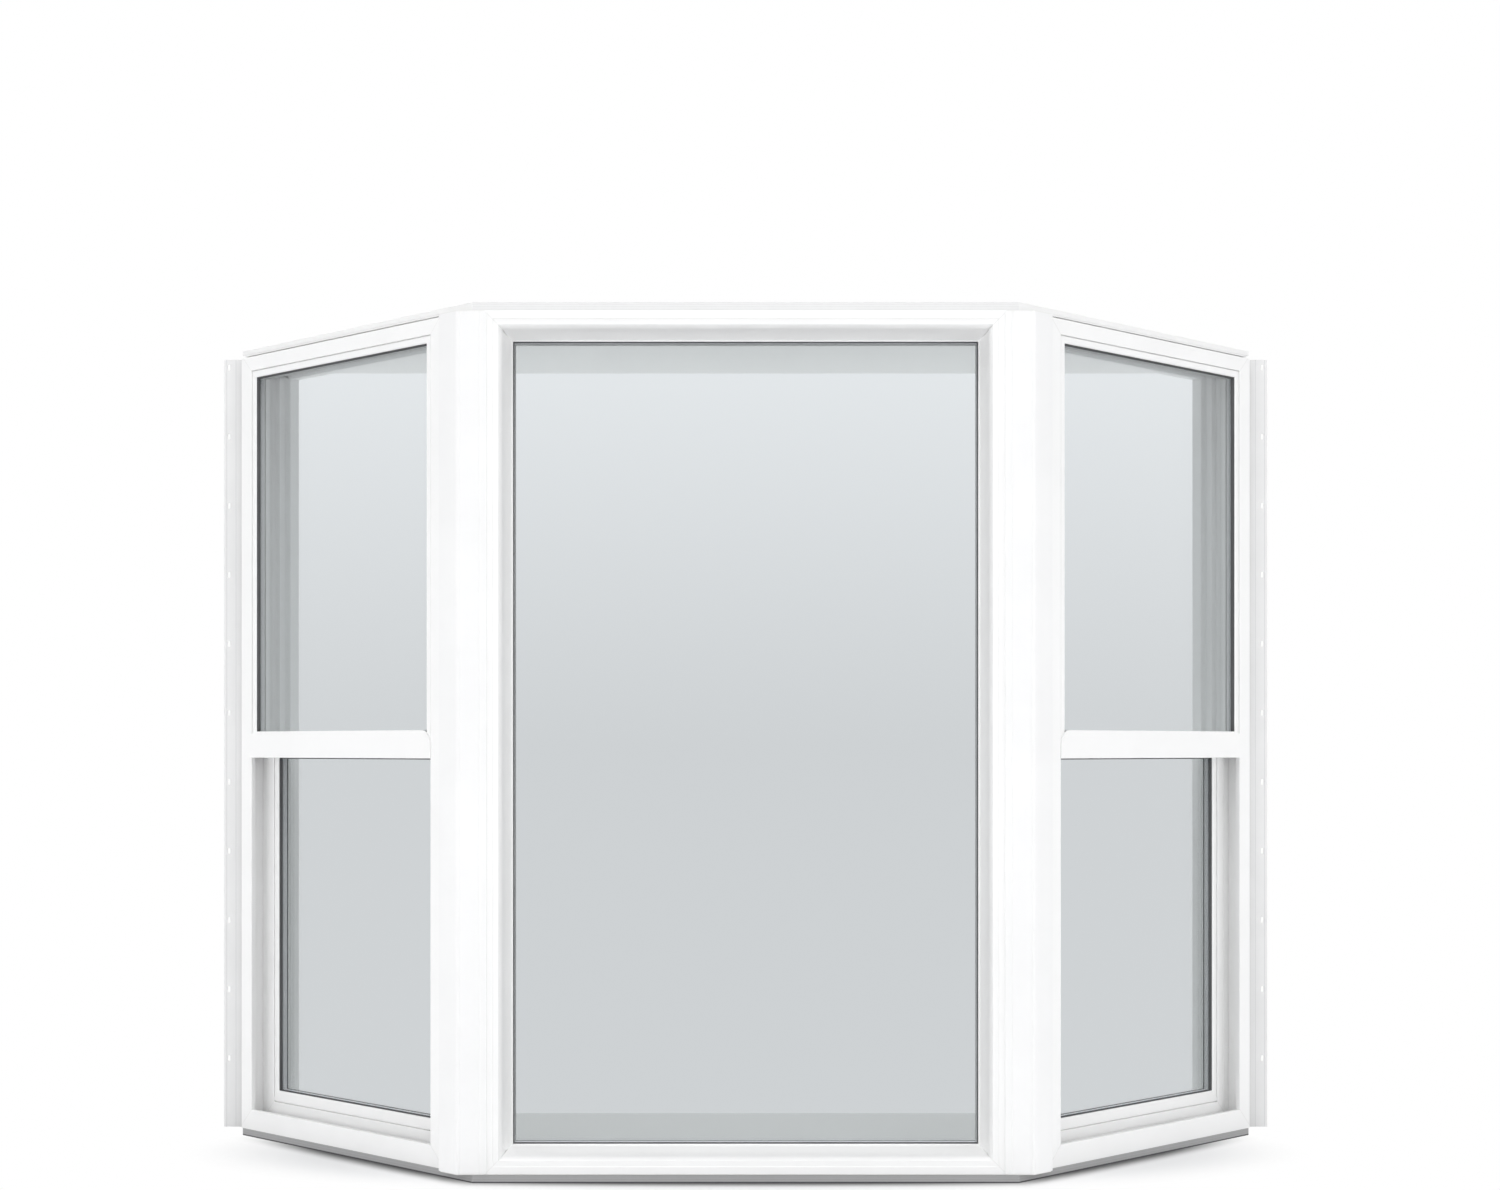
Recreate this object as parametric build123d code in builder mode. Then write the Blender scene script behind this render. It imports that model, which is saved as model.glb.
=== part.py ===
"""Vinyl bay window unit: a fixed picture window between two single-hung windows set at 45 degrees.

Frame: +Z up, -Y towards the street, +Y into the room. The origin is under the middle of the seat
board, halfway between the front of the corner covers and the wall face of the room side.
All sizes are in millimetres.
"""

from build123d import *
from math import radians, sin, cos, sqrt
import os

os.makedirs("parts", exist_ok=True)

# Overall
BAY_ANGLE = 45.0
BAY_DEPTH = 521.0  # front of the corner covers to the room side of the wall
FRAME_HEIGHT = 1128.0
FRAME_DEPTH = 82.5
BOARD_THICKNESS = 11.0  # seat board and head board
BOARD_SETBACK = 2.0  # board edge behind the faces of the frames
HEAD_GAP = 4.5  # rebate under the head board, over each single-hung window
HEAD_GAP_DEPTH = 12.0

EDGE_RADIUS = 1.0  # arrises of the vinyl extrusions
ROOM_RADIUS = 2.0  # arrises of their room side

# Centre picture window
CENTRE_WIDTH = 682.0
CENTRE_LIP = 10.7  # raised outer band of the face
CENTRE_STEP = 1.0  # height of that band
CENTRE_FACE = 18.0  # face width, outer edge to the reveal
CENTRE_SIGHT = 33.0  # outer edge to the visible glass
CENTRE_GLASS_BACK = 49.0  # face of the frame to the outer pane
CENTRE_CAVITY = 12.0
CENTRE_POCKET = 20.0  # floor of the glass pocket
CENTRE_BEAD_FRONT = 34.0  # foot of the reveal, where the bead takes over
CENTRE_BEAD_TOE = 27.0
CENTRE_BEAD_EDGE = 1.5  # flat end of the bead beside the glass
CENTRE_BEAD_LIFT = 3.0  # bead edge in front of the glass
REVEAL_WAIST = (22.8, -13.0)  # where the reveal turns from rounded to hollow
REVEAL_ROUND = 1.1  # rise of the rounded part of the reveal
REVEAL_HOLLOW = 0.9  # depth of the hollow part behind it
REVEAL_SLOPE = (0.3, -1)  # tangent where the bead takes over: inwards, and back
BEAD_SLOPE = (0.5, -1)  # tangent where the bead ends beside the glass

# Single-hung windows
SIDE_WIDTH = 478.0
SIDE_CORNER_X = 401.5  # inner front corner of the right-hand frame
SIDE_CORNER_BACK = 43.8  # the same corner, behind the face of the centre frame
JAMB_FACE = 26.0
HEAD_FACE = 20.5
SILL_FACE = 29.0
LIP_THICKNESS = 6.0
TRACK_FLOOR = 9.0  # outer edge of a jamb to the floor of the sash track
SILL_TRACK_FLOOR = 8.0
SILL_FALL = 0.8  # half the fall of that floor towards the street
SCREEN_RIB_BACK = 14.0  # face of the frame to the rib that an insect screen stands behind
SCREEN_RIB_HEIGHT = 4.0
SCREEN_RIB_THICKNESS = 1.5
TRACK_BACK = 56.0  # face of the frame to the shoulder that the sash slides against
TRACK_SHOULDER = 6.0  # shoulder behind the line of the outer face
LEG_BACK = 66.0  # face of the frame to the room-side leg
LEG_MORE = 6.0  # leg beyond the line of the outer face
SIDE_GLASS_BACK = 7.0
SIDE_CAVITY = 6.5
BEAD_WIDTH = 10.6
BEAD_SETBACK = 1.0  # face of a bead behind the face of its frame
BEAD_RADIUS = 2.5  # rounded inner edge of a bead
GROOVE_WIDTH = 1.2  # shadow line between a frame and its bead
GROOVE_DEPTH = 4.0
RAIL_BOTTOM = 543.0  # meeting rail, above the foot of the frame
RAIL_TOP = 581.0
RAIL_PROUD = 2.5
RAIL_CAP_LAP = 2.0  # cap over the jambs at each end
RAIL_CAP_RISE = 3.0  # cap above the body of the rail
RAIL_TOP_RADIUS = 20.0  # upper corners of the cap
RAIL_FOOT_RADIUS = 5.0
SASH_BACK = 29.5  # face of the frame to the face of the sash
SASH_DEPTH = 24.0
SASH_STILE = 29.7  # stiles and bottom rail, up to the bead
SASH_TOP_RAIL = 15.9
SASH_BOTTOM_BEAD = 17.1
SASH_FOOT = 9.6
SASH_TOP = 569.5
SASH_CLEARANCE = 0.5
SASH_REBATE = 4.4  # stepped outer edge of the sash face
SASH_SCORE = 14.5  # outer edge of the sash to the scored line
SCORE_WIDTH = 1.2

# Hardware of the lower sashes
LIFT_FOOT = 44.0  # underside of the finger lift, above the foot of the frame
LIFT_REACH = 9.0
LIFT_THICKNESS = 3.0
LIFT_HOOK = 6.0
LIFT_INSET = 55.0  # each end of the lift, from the edge of the sash
LOCK_LENGTH = 62.0
LOCK_WIDTH = 16.0
LOCK_BASE = 4.0
LOCK_HUB = 7.0  # radius
LOCK_HUB_HEIGHT = 4.5
LOCK_BACK = 15.0  # face of the sash to the middle of the lock
LEVER_LENGTH = 30.0
LEVER_WIDTH = 7.0
CAM_WIDTH = 9.0
KEEPER_LENGTH = 34.0
KEEPER_DEPTH = 4.0
KEEPER_FOOT = 1.5  # above the top rail of the sash
KEEPER_HEIGHT = 8.0
LATCH_LENGTH = 52.0
LATCH_WIDTH = 15.0
LATCH_PLATE = 2.0
LATCH_BACK = 13.0  # face of the sash to the middle of a latch
LATCH_BUTTON = 16.0
LATCH_BUTTON_WIDTH = 7.5
LATCH_BUTTON_HEIGHT = 3.0
LATCH_INSET = 6.0  # end of a latch, from the edge of the sash

# Glass
PANE = 3.0
BITE = 11.0  # glass hidden behind a bead or stop
POCKET_CLEARANCE = 2.0  # glass edge to the floor of its pocket
SPACER_WIDTH = 12.0

# Corner covers, posts and room-side trims
COVER_FRONT = 40.0
COVER_THICKNESS = 2.0
COVER_LAP = 3.0
COVER_SHORTER = 1.5  # at each end
COVER_LIP = 9.0  # raised edge beside the centre frame
COVER_HOLLOW = 0.8  # shallow panel in the front of the cover
COVER_BEND_RADIUS = 4.0
TRIM_LAP = 16.0
TRIM_THICKNESS = 5.0
TRIM_HOLLOW = 3.0

# Wall side
WALL_JAMB_X = 681.0
WALL_JAMB_THICKNESS = 19.0

# Nailing fins
FIN_BACK = 391.0  # face of the centre frame to the fin
FIN_EDGE_X = 767.3
FIN_THICKNESS = 1.6
FIN_LEG = 18.0
SLOT_X = 760.0
SLOT_WIDTH = 3.6
SLOT_LENGTH = 9.0
SLOT_PITCH = 101.6
SLOT_FROM_TOP = 11.3
SLOT_COUNT = 11

# Worked out from the sizes above
FACE_Y = -BAY_DEPTH / 2 + COVER_THICKNESS
WALL_Y = BAY_DEPTH / 2
FRAME_BOTTOM = BOARD_THICKNESS
FRAME_TOP = FRAME_BOTTOM + FRAME_HEIGHT
ALONG = Vector(cos(radians(BAY_ANGLE)), sin(radians(BAY_ANGLE)), 0)
OUTWARD = Vector(sin(radians(BAY_ANGLE)), -cos(radians(BAY_ANGLE)), 0)
UP = Vector(0, 0, 1)

CENTRE_PLANE = Plane(origin=(-CENTRE_WIDTH / 2, FACE_Y, FRAME_BOTTOM), x_dir=(1, 0, 0), z_dir=(0, -1, 0))
SIDE_CORNER = Vector(SIDE_CORNER_X, FACE_Y + SIDE_CORNER_BACK, FRAME_BOTTOM)
SIDE_PLANE = Plane(origin=SIDE_CORNER, x_dir=ALONG, z_dir=OUTWARD)
SASH_PLANE = SIDE_PLANE.offset(-SASH_BACK)


def save(part, node):
    """Label one finished piece and write it under its node's name."""
    part.label = node
    export_step(part, f"parts/{node}.step")


def save_pair(part, stem):
    """Write a right-hand piece, and its mirror image as the left-hand one."""
    save(part, f"right_{stem}")
    with BuildPart() as twin:
        mirror(part, about=Plane.YZ)
    save(twin.part, f"left_{stem}")


def plan_point(inset, back):
    """Point in plan on the right-hand window: along its face from the inner end, and behind its face."""
    spot = SIDE_CORNER + ALONG * inset - OUTWARD * back
    return (spot.X, spot.Y)


def rounded(*corners, close=True):
    """Outline for use inside a BuildLine block. A corner is (x, y), or (x, y, radius) where it is rounded."""
    points = [corner[:2] for corner in corners]
    radii = [corner[2] if len(corner) > 2 else 0 for corner in corners]
    if not close:
        radii = radii[1:-1]
    return lambda: FilletPolyline(*points, radius=radii, close=close)


def upright(outline, bottom, height):
    """Prism on an outline in plan."""
    with BuildPart() as prism:
        with BuildSketch(Plane.XY.offset(bottom)):
            with BuildLine():
                outline()
            make_face()
        extrude(amount=height)
    return prism.part


def side_planes(face, left, bottom, right, top):
    """Section planes of the four sides of a rectangle on a window's face, going round it.

    On each one x runs into the opening, y outwards from the face, and z along the side.
    """
    across, up = face.x_dir, face.y_dir
    corner = {
        "sill": (left, bottom),
        "right": (right, bottom),
        "head": (right, top),
        "left": (left, top),
    }
    run = {"sill": across, "right": up, "head": -across, "left": -up}
    inward = {"sill": up, "right": -across, "head": -up, "left": across}
    return {
        name: Plane(origin=face.from_local_coords((*corner[name], 0)), x_dir=inward[name], z_dir=run[name])
        for name in corner
    }


def mitred_side(plane, outline, length, inset=0.0, before=0.0, after=0.0):
    """One side of a frame: its section run to full length and cut on the mitre planes of both corners.

    inset, before and after are the face widths of this side and of its two neighbours, so that the
    mitres pass through the corners of the opening.
    """
    with BuildPart() as member:
        with BuildSketch(plane):
            with BuildLine():
                outline()
            make_face()
        extrude(amount=length)
        start = plane.from_local_coords((inset, 0, before))
        end = plane.from_local_coords((inset, 0, length - after))
        split(bisect_by=Plane(origin=start, z_dir=plane.z_dir - plane.x_dir), keep=Keep.TOP)
        split(bisect_by=Plane(origin=end, z_dir=-plane.z_dir - plane.x_dir), keep=Keep.TOP)
    return member.part


def frame_sides(face, box, outlines, widths):
    """The four mitred sides of a frame inside a rectangle, each with its own section and face width."""
    left, bottom, right, top = box
    planes = side_planes(face, *box)
    order = list(planes)
    lengths = {"sill": right - left, "right": top - bottom, "head": right - left, "left": top - bottom}
    sides = {}
    for place, name in enumerate(order):
        before, after = widths[order[place - 1]], widths[order[(place + 1) % 4]]
        sides[name] = mitred_side(planes[name], outlines[name], lengths[name], widths[name], before, after)
    return sides


def ring(face, box, outlines, widths):
    """Closed frame of four welded sides."""
    with BuildPart() as frame:
        for side in frame_sides(face, box, outlines, widths).values():
            add(side)
    return frame.part


def alike(value):
    """The same value for all four sides of a frame."""
    return dict.fromkeys(("sill", "right", "head", "left"), value)


def slab(face, left, bottom, right, top, front, back):
    """Rectangular plate between two depths behind a face."""
    with BuildPart() as plate:
        with BuildSketch(face.offset(-back)):
            with Locations(((left + right) / 2, (bottom + top) / 2)):
                Rectangle(right - left, top - bottom)
        extrude(amount=back - front)
    return plate.part


def insulated_glass(face, sight, front, cavity):
    """Outer pane, inner pane and the spacer between them, round a sight opening."""
    left, bottom, right, top = sight
    box = (left - BITE, bottom - BITE, right + BITE, top + BITE)
    outer = slab(face, *box, front, front + PANE)
    inner = slab(face, *box, front + PANE + cavity, front + 2 * PANE + cavity)
    bar = rounded(
        (0, -front - PANE),
        (SPACER_WIDTH, -front - PANE),
        (SPACER_WIDTH, -front - PANE - cavity),
        (0, -front - PANE - cavity),
    )
    return outer, inner, ring(face, box, alike(bar), alike(0))


# ---- seat board and head board ----

wall_edge_x = WALL_JAMB_X + WALL_JAMB_THICKNESS
board_bend_x = SIDE_CORNER_X - SIDE_CORNER_BACK + BOARD_SETBACK - BOARD_SETBACK * sqrt(2)
end_outer = plan_point(SIDE_WIDTH, BOARD_SETBACK)
end_plane_sum = sum(plan_point(SIDE_WIDTH, 0))
board_outline = [
    (board_bend_x, FACE_Y + BOARD_SETBACK),
    end_outer,
    (wall_edge_x, end_plane_sum - wall_edge_x),
    (wall_edge_x, WALL_Y),
]
board_outline += [(-x, y) for x, y in reversed(board_outline)]
save(upright(rounded(*board_outline), 0, BOARD_THICKNESS), "seat_board")

gap_back = BOARD_SETBACK + HEAD_GAP_DEPTH
gap_outline = rounded(
    plan_point(COVER_THICKNESS, 0),
    plan_point(SIDE_WIDTH + HEAD_GAP_DEPTH, 0),
    plan_point(SIDE_WIDTH + HEAD_GAP_DEPTH, gap_back),
    plan_point(COVER_THICKNESS, gap_back),
)
with BuildPart() as head_board:
    add(upright(rounded(*board_outline), FRAME_TOP, BOARD_THICKNESS))
    rebate = upright(gap_outline, FRAME_TOP, HEAD_GAP)
    add(rebate, mode=Mode.SUBTRACT)
    mirror(rebate, about=Plane.YZ, mode=Mode.SUBTRACT)
save(head_board.part, "head_board")

# ---- boards that line the wall opening ----

wall_jamb_outline = rounded(
    (WALL_JAMB_X, end_plane_sum - WALL_JAMB_X),
    (wall_edge_x, end_plane_sum - wall_edge_x),
    (wall_edge_x, WALL_Y),
    (WALL_JAMB_X, WALL_Y, EDGE_RADIUS),
)
wall_jamb = upright(wall_jamb_outline, FRAME_BOTTOM, FRAME_HEIGHT)
save_pair(wall_jamb, "wall_jamb")

# ---- corner covers, posts and room-side trims ----

cover_inner_x = CENTRE_WIDTH / 2 - COVER_LAP
cover_bend_x = cover_inner_x + COVER_FRONT
cover_side_x = SIDE_CORNER_X + COVER_THICKNESS
cover_front_y = FACE_Y - COVER_THICKNESS
cover_side_y = cover_front_y + (cover_side_x - cover_bend_x) * ALONG.Y / ALONG.X
cover_wall = COVER_THICKNESS * sqrt(2) - COVER_THICKNESS  # offset of a 45 degree bend, measured along X
hollow_start_x = cover_inner_x + COVER_LIP
hollow_end_x = cover_bend_x - COVER_BEND_RADIUS
side_face_sum = SIDE_CORNER.X - SIDE_CORNER.Y
cover_outline = rounded(
    (cover_inner_x, cover_front_y, EDGE_RADIUS),
    (hollow_start_x, cover_front_y),
    (hollow_start_x + COVER_HOLLOW, cover_front_y + COVER_HOLLOW),
    (hollow_end_x - COVER_HOLLOW, cover_front_y + COVER_HOLLOW),
    (hollow_end_x, cover_front_y),
    (cover_bend_x, cover_front_y, COVER_BEND_RADIUS),
    (cover_side_x, cover_side_y, EDGE_RADIUS),
    (cover_side_x, cover_side_x - side_face_sum),
    plan_point(0, 0),
    (SIDE_CORNER_X, cover_side_y + cover_wall),
    (cover_bend_x - cover_wall, FACE_Y),
    (cover_inner_x, FACE_Y),
)
corner_cover = upright(cover_outline, FRAME_BOTTOM + COVER_SHORTER, FRAME_HEIGHT - 2 * COVER_SHORTER)
save_pair(corner_cover, "corner_cover")

post_outline = rounded(
    (CENTRE_WIDTH / 2, FACE_Y),
    (cover_bend_x - cover_wall, FACE_Y),
    (SIDE_CORNER_X, cover_side_y + cover_wall),
    plan_point(0, 0),
    plan_point(0, FRAME_DEPTH),
    (CENTRE_WIDTH / 2, FACE_Y + FRAME_DEPTH),
)
save_pair(upright(post_outline, FRAME_BOTTOM, FRAME_HEIGHT), "corner_post")

room_face_y = FACE_Y + FRAME_DEPTH
trim_inner_x = CENTRE_WIDTH / 2 - TRIM_LAP


def trim_outline():
    """Hollow-faced strip over the joint between two frames, seen from the room."""
    Polyline(
        (trim_inner_x, room_face_y + TRIM_THICKNESS),
        (trim_inner_x, room_face_y),
        (CENTRE_WIDTH / 2, room_face_y),
        plan_point(0, FRAME_DEPTH),
        plan_point(TRIM_LAP, FRAME_DEPTH),
        plan_point(TRIM_LAP, FRAME_DEPTH + TRIM_THICKNESS),
    )
    SagittaArc(
        plan_point(TRIM_LAP, FRAME_DEPTH + TRIM_THICKNESS),
        (trim_inner_x, room_face_y + TRIM_THICKNESS),
        TRIM_HOLLOW,
    )


save_pair(upright(trim_outline, FRAME_BOTTOM, FRAME_HEIGHT), "room_corner_trim")

# ---- centre picture window ----

centre_glass_end = CENTRE_GLASS_BACK + 2 * PANE + CENTRE_CAVITY
centre_box = (0, 0, CENTRE_WIDTH, FRAME_HEIGHT)


def centre_section():
    """Face with a raised outer band, curved reveal, glass pocket and room-side stop."""
    rounded(
        (CENTRE_BEAD_TOE, -CENTRE_BEAD_FRONT),
        (CENTRE_POCKET, -CENTRE_BEAD_FRONT),
        (CENTRE_POCKET, -centre_glass_end),
        (CENTRE_SIGHT, -centre_glass_end),
        (CENTRE_SIGHT, -FRAME_DEPTH, ROOM_RADIUS),
        (0, -FRAME_DEPTH),
        (0, 0, EDGE_RADIUS),
        (CENTRE_LIP, 0, CENTRE_STEP / 2),
        (CENTRE_LIP, -CENTRE_STEP),
        (CENTRE_FACE, -CENTRE_STEP),
        close=False,
    )()
    SagittaArc((CENTRE_FACE, -CENTRE_STEP), REVEAL_WAIST, REVEAL_ROUND)
    SagittaArc(REVEAL_WAIST, (CENTRE_BEAD_TOE, -CENTRE_BEAD_FRONT), -REVEAL_HOLLOW)


centre_names = {
    "sill": "centre_sill",
    "right": "centre_right_jamb",
    "head": "centre_head",
    "left": "centre_left_jamb",
}
centre_sides = frame_sides(CENTRE_PLANE, centre_box, alike(centre_section), alike(0))
for side, part in centre_sides.items():
    save(part, centre_names[side])


def centre_bead_section():
    """Snap-in bead that carries the slope of the reveal on to a narrow flat beside the glass."""
    bead_edge = (CENTRE_SIGHT - CENTRE_BEAD_EDGE, CENTRE_BEAD_LIFT - CENTRE_GLASS_BACK)
    Polyline(
        bead_edge,
        (CENTRE_SIGHT, CENTRE_BEAD_LIFT - CENTRE_GLASS_BACK),
        (CENTRE_SIGHT, -CENTRE_GLASS_BACK),
        (CENTRE_POCKET, -CENTRE_GLASS_BACK),
        (CENTRE_POCKET, -CENTRE_BEAD_FRONT),
        (CENTRE_BEAD_TOE, -CENTRE_BEAD_FRONT),
    )
    Spline((CENTRE_BEAD_TOE, -CENTRE_BEAD_FRONT), bead_edge, tangents=(REVEAL_SLOPE, BEAD_SLOPE))


save(ring(CENTRE_PLANE, centre_box, alike(centre_bead_section), alike(0)), "centre_glazing_bead")

centre_sight = (CENTRE_SIGHT, CENTRE_SIGHT, CENTRE_WIDTH - CENTRE_SIGHT, FRAME_HEIGHT - CENTRE_SIGHT)
centre_glass = insulated_glass(CENTRE_PLANE, centre_sight, CENTRE_GLASS_BACK, CENTRE_CAVITY)
for part, stem in zip(centre_glass, ("outer_pane", "inner_pane", "spacer")):
    save(part, f"centre_{stem}")

# ---- frames of the single-hung windows ----

side_glass_end = SIDE_GLASS_BACK + 2 * PANE + SIDE_CAVITY
upper_stop_end = SASH_BACK - SASH_CLEARANCE
side_box = (0, 0, SIDE_WIDTH, FRAME_HEIGHT)


def channel_section(face, floor, fall=0.0):
    """Jamb or sill: face lip, screen rib, sash track, and a shoulder that steps up to the room-side leg."""
    low, high = floor - fall, floor + fall
    rib_top = low + SCREEN_RIB_HEIGHT
    rib_back = SCREEN_RIB_BACK + SCREEN_RIB_THICKNESS
    return rounded(
        (0, 0),
        (face, 0, EDGE_RADIUS),
        (face, -LIP_THICKNESS),
        (low, -LIP_THICKNESS),
        (low, -SCREEN_RIB_BACK),
        (rib_top, -SCREEN_RIB_BACK),
        (rib_top, -rib_back),
        (low, -rib_back),
        (high, -TRACK_BACK),
        (face - TRACK_SHOULDER, -TRACK_BACK, EDGE_RADIUS),
        (face - TRACK_SHOULDER, -LEG_BACK, ROOM_RADIUS),
        (face + LEG_MORE, -LEG_BACK, ROOM_RADIUS),
        (face + LEG_MORE, -FRAME_DEPTH, ROOM_RADIUS),
        (0, -FRAME_DEPTH),
    )


def head_section():
    """Head: face lip, glass pocket, the stop behind the glass, and the room-side leg."""
    sight = HEAD_FACE + BEAD_WIDTH
    pocket = sight - BITE - POCKET_CLEARANCE
    rounded(
        (0, 0),
        (HEAD_FACE, 0, EDGE_RADIUS),
        (HEAD_FACE, -SIDE_GLASS_BACK),
        (pocket, -SIDE_GLASS_BACK),
        (pocket, -side_glass_end),
        (sight, -side_glass_end),
        (sight, -upper_stop_end, EDGE_RADIUS),
        (HEAD_FACE, -upper_stop_end),
        (HEAD_FACE, -LEG_BACK),
        (HEAD_FACE + LEG_MORE, -LEG_BACK, ROOM_RADIUS),
        (HEAD_FACE + LEG_MORE, -FRAME_DEPTH, ROOM_RADIUS),
        (0, -FRAME_DEPTH),
    )()


def bead_section(width):
    """Glazing bead: a shadow groove beside the frame, a narrow flat, and a rounded edge down to the glass."""
    return rounded(
        (GROOVE_WIDTH, -BEAD_SETBACK, EDGE_RADIUS / 2),
        (width, -BEAD_SETBACK, BEAD_RADIUS),
        (width, -SIDE_GLASS_BACK),
        (0, -SIDE_GLASS_BACK),
        (0, -GROOVE_DEPTH),
        (GROOVE_WIDTH, -GROOVE_DEPTH),
    )


side_faces = {"sill": SILL_FACE, "right": JAMB_FACE, "head": HEAD_FACE, "left": JAMB_FACE}
side_names = {"sill": "sill", "right": "outer_jamb", "head": "head", "left": "inner_jamb"}
side_sections = {
    "sill": channel_section(SILL_FACE, SILL_TRACK_FLOOR, SILL_FALL),
    "right": channel_section(JAMB_FACE, TRACK_FLOOR),
    "head": head_section,
    "left": channel_section(JAMB_FACE, TRACK_FLOOR),
}
upper_sight = (
    JAMB_FACE + BEAD_WIDTH,
    RAIL_TOP - RAIL_CAP_RISE,
    SIDE_WIDTH - JAMB_FACE - BEAD_WIDTH,
    FRAME_HEIGHT - HEAD_FACE - BEAD_WIDTH,
)
jamb_stops = {"left": (TRACK_FLOOR, upper_sight[0]), "right": (upper_sight[2], SIDE_WIDTH - TRACK_FLOOR)}
for side, part in frame_sides(SIDE_PLANE, side_box, side_sections, side_faces).items():
    with BuildPart() as member:
        add(part)
        if side in jamb_stops:
            near, far = jamb_stops[side]
            add(slab(SIDE_PLANE, near, RAIL_TOP, far, upper_sight[3], side_glass_end, upper_stop_end))
    save_pair(member.part, f"window_{side_names[side]}")

# ---- meeting rails ----

rail_length = SIDE_WIDTH - 2 * JAMB_FACE
rail_body_top = RAIL_TOP - RAIL_CAP_RISE
rail_pocket = rail_body_top - BITE - POCKET_CLEARANCE
rail_section = rounded(
    (RAIL_BOTTOM, 0),
    (rail_body_top, 0),
    (rail_body_top, -SIDE_GLASS_BACK),
    (rail_pocket, -SIDE_GLASS_BACK),
    (rail_pocket, -side_glass_end),
    (RAIL_TOP, -side_glass_end),
    (RAIL_TOP, -upper_stop_end, EDGE_RADIUS),
    (RAIL_BOTTOM, -upper_stop_end, EDGE_RADIUS),
)
with BuildPart() as meeting_rail:
    with BuildSketch(Plane(origin=SIDE_PLANE.from_local_coords((JAMB_FACE, 0, 0)), x_dir=UP, z_dir=ALONG)):
        with BuildLine():
            rail_section()
        make_face()
    extrude(amount=rail_length)
    with BuildSketch(SIDE_PLANE):
        with Locations((SIDE_WIDTH / 2, (RAIL_BOTTOM + RAIL_TOP) / 2)):
            cap = Rectangle(rail_length + 2 * RAIL_CAP_LAP, RAIL_TOP - RAIL_BOTTOM)
        fillet(cap.vertices().group_by(Axis.Y)[-1], RAIL_TOP_RADIUS)
        fillet(cap.vertices().group_by(Axis.Y)[0], RAIL_FOOT_RADIUS)
    extrude(amount=RAIL_PROUD)
    chamfer(meeting_rail.faces().sort_by(Axis(SIDE_CORNER, OUTWARD))[-1].edges(), EDGE_RADIUS / 2)
save_pair(meeting_rail.part, "meeting_rail")

# ---- upper lights ----

upper_bead_box = (JAMB_FACE, RAIL_BOTTOM, SIDE_WIDTH - JAMB_FACE, FRAME_HEIGHT - HEAD_FACE)
with BuildPart() as upper_bead:
    add(ring(SIDE_PLANE, upper_bead_box, alike(bead_section(BEAD_WIDTH)), alike(0)))
    split(bisect_by=Plane.XY.offset(FRAME_BOTTOM + rail_body_top), keep=Keep.TOP)
save_pair(upper_bead.part, "upper_glazing_bead")

upper_glass = insulated_glass(SIDE_PLANE, upper_sight, SIDE_GLASS_BACK, SIDE_CAVITY)
for part, stem in zip(upper_glass, ("outer_pane", "inner_pane", "spacer")):
    save_pair(part, f"upper_{stem}")

# ---- lower sashes ----

sash_left = TRACK_FLOOR + SASH_CLEARANCE
sash_right = SIDE_WIDTH - sash_left
sash_box = (sash_left, SASH_FOOT, sash_right, SASH_TOP)
sash_faces = {"sill": SASH_STILE, "right": SASH_STILE, "head": SASH_TOP_RAIL, "left": SASH_STILE}
sash_beads = {"sill": SASH_BOTTOM_BEAD, "right": BEAD_WIDTH, "head": BEAD_WIDTH, "left": BEAD_WIDTH}


def sash_section(face, bead, scored):
    """Sash rail: stepped outer edge, a scored line, the glass pocket, and a stop flush with the room side."""
    sight = face + bead
    pocket = sight - BITE - POCKET_CLEARANCE
    score = [
        (SASH_SCORE - SCORE_WIDTH / 2, 0),
        (SASH_SCORE, -SCORE_WIDTH / 2),
        (SASH_SCORE + SCORE_WIDTH / 2, 0),
    ]
    return rounded(
        (0, -EDGE_RADIUS),
        (SASH_REBATE, -EDGE_RADIUS),
        (SASH_REBATE, 0, EDGE_RADIUS / 2),
        *(score if scored else []),
        (face, 0, EDGE_RADIUS / 2),
        (face, -SIDE_GLASS_BACK),
        (pocket, -SIDE_GLASS_BACK),
        (pocket, -side_glass_end),
        (sight, -side_glass_end),
        (sight, -SASH_DEPTH, ROOM_RADIUS),
        (0, -SASH_DEPTH, EDGE_RADIUS),
    )


sash_sections = {
    side: sash_section(face, sash_beads[side], scored=side != "head")
    for side, face in sash_faces.items()
}

lift_section = rounded(
    (-SASH_DEPTH, LIFT_FOOT),
    (-SASH_DEPTH - LIFT_REACH, LIFT_FOOT, EDGE_RADIUS),
    (-SASH_DEPTH - LIFT_REACH, LIFT_FOOT + LIFT_HOOK, EDGE_RADIUS),
    (-SASH_DEPTH - LIFT_REACH + LIFT_THICKNESS, LIFT_FOOT + LIFT_HOOK, EDGE_RADIUS),
    (-SASH_DEPTH - LIFT_REACH + LIFT_THICKNESS, LIFT_FOOT + LIFT_THICKNESS, EDGE_RADIUS),
    (-SASH_DEPTH, LIFT_FOOT + LIFT_THICKNESS),
)
lift_start = SASH_PLANE.from_local_coords((sash_right - LIFT_INSET, 0, 0))
with BuildPart() as sash:
    add(ring(SASH_PLANE, sash_box, sash_sections, sash_faces))
    with BuildSketch(Plane(origin=lift_start, x_dir=OUTWARD, z_dir=-ALONG)):
        with BuildLine():
            lift_section()
        make_face()
    extrude(amount=sash_right - sash_left - 2 * LIFT_INSET)
save_pair(sash.part, "sash")

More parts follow.
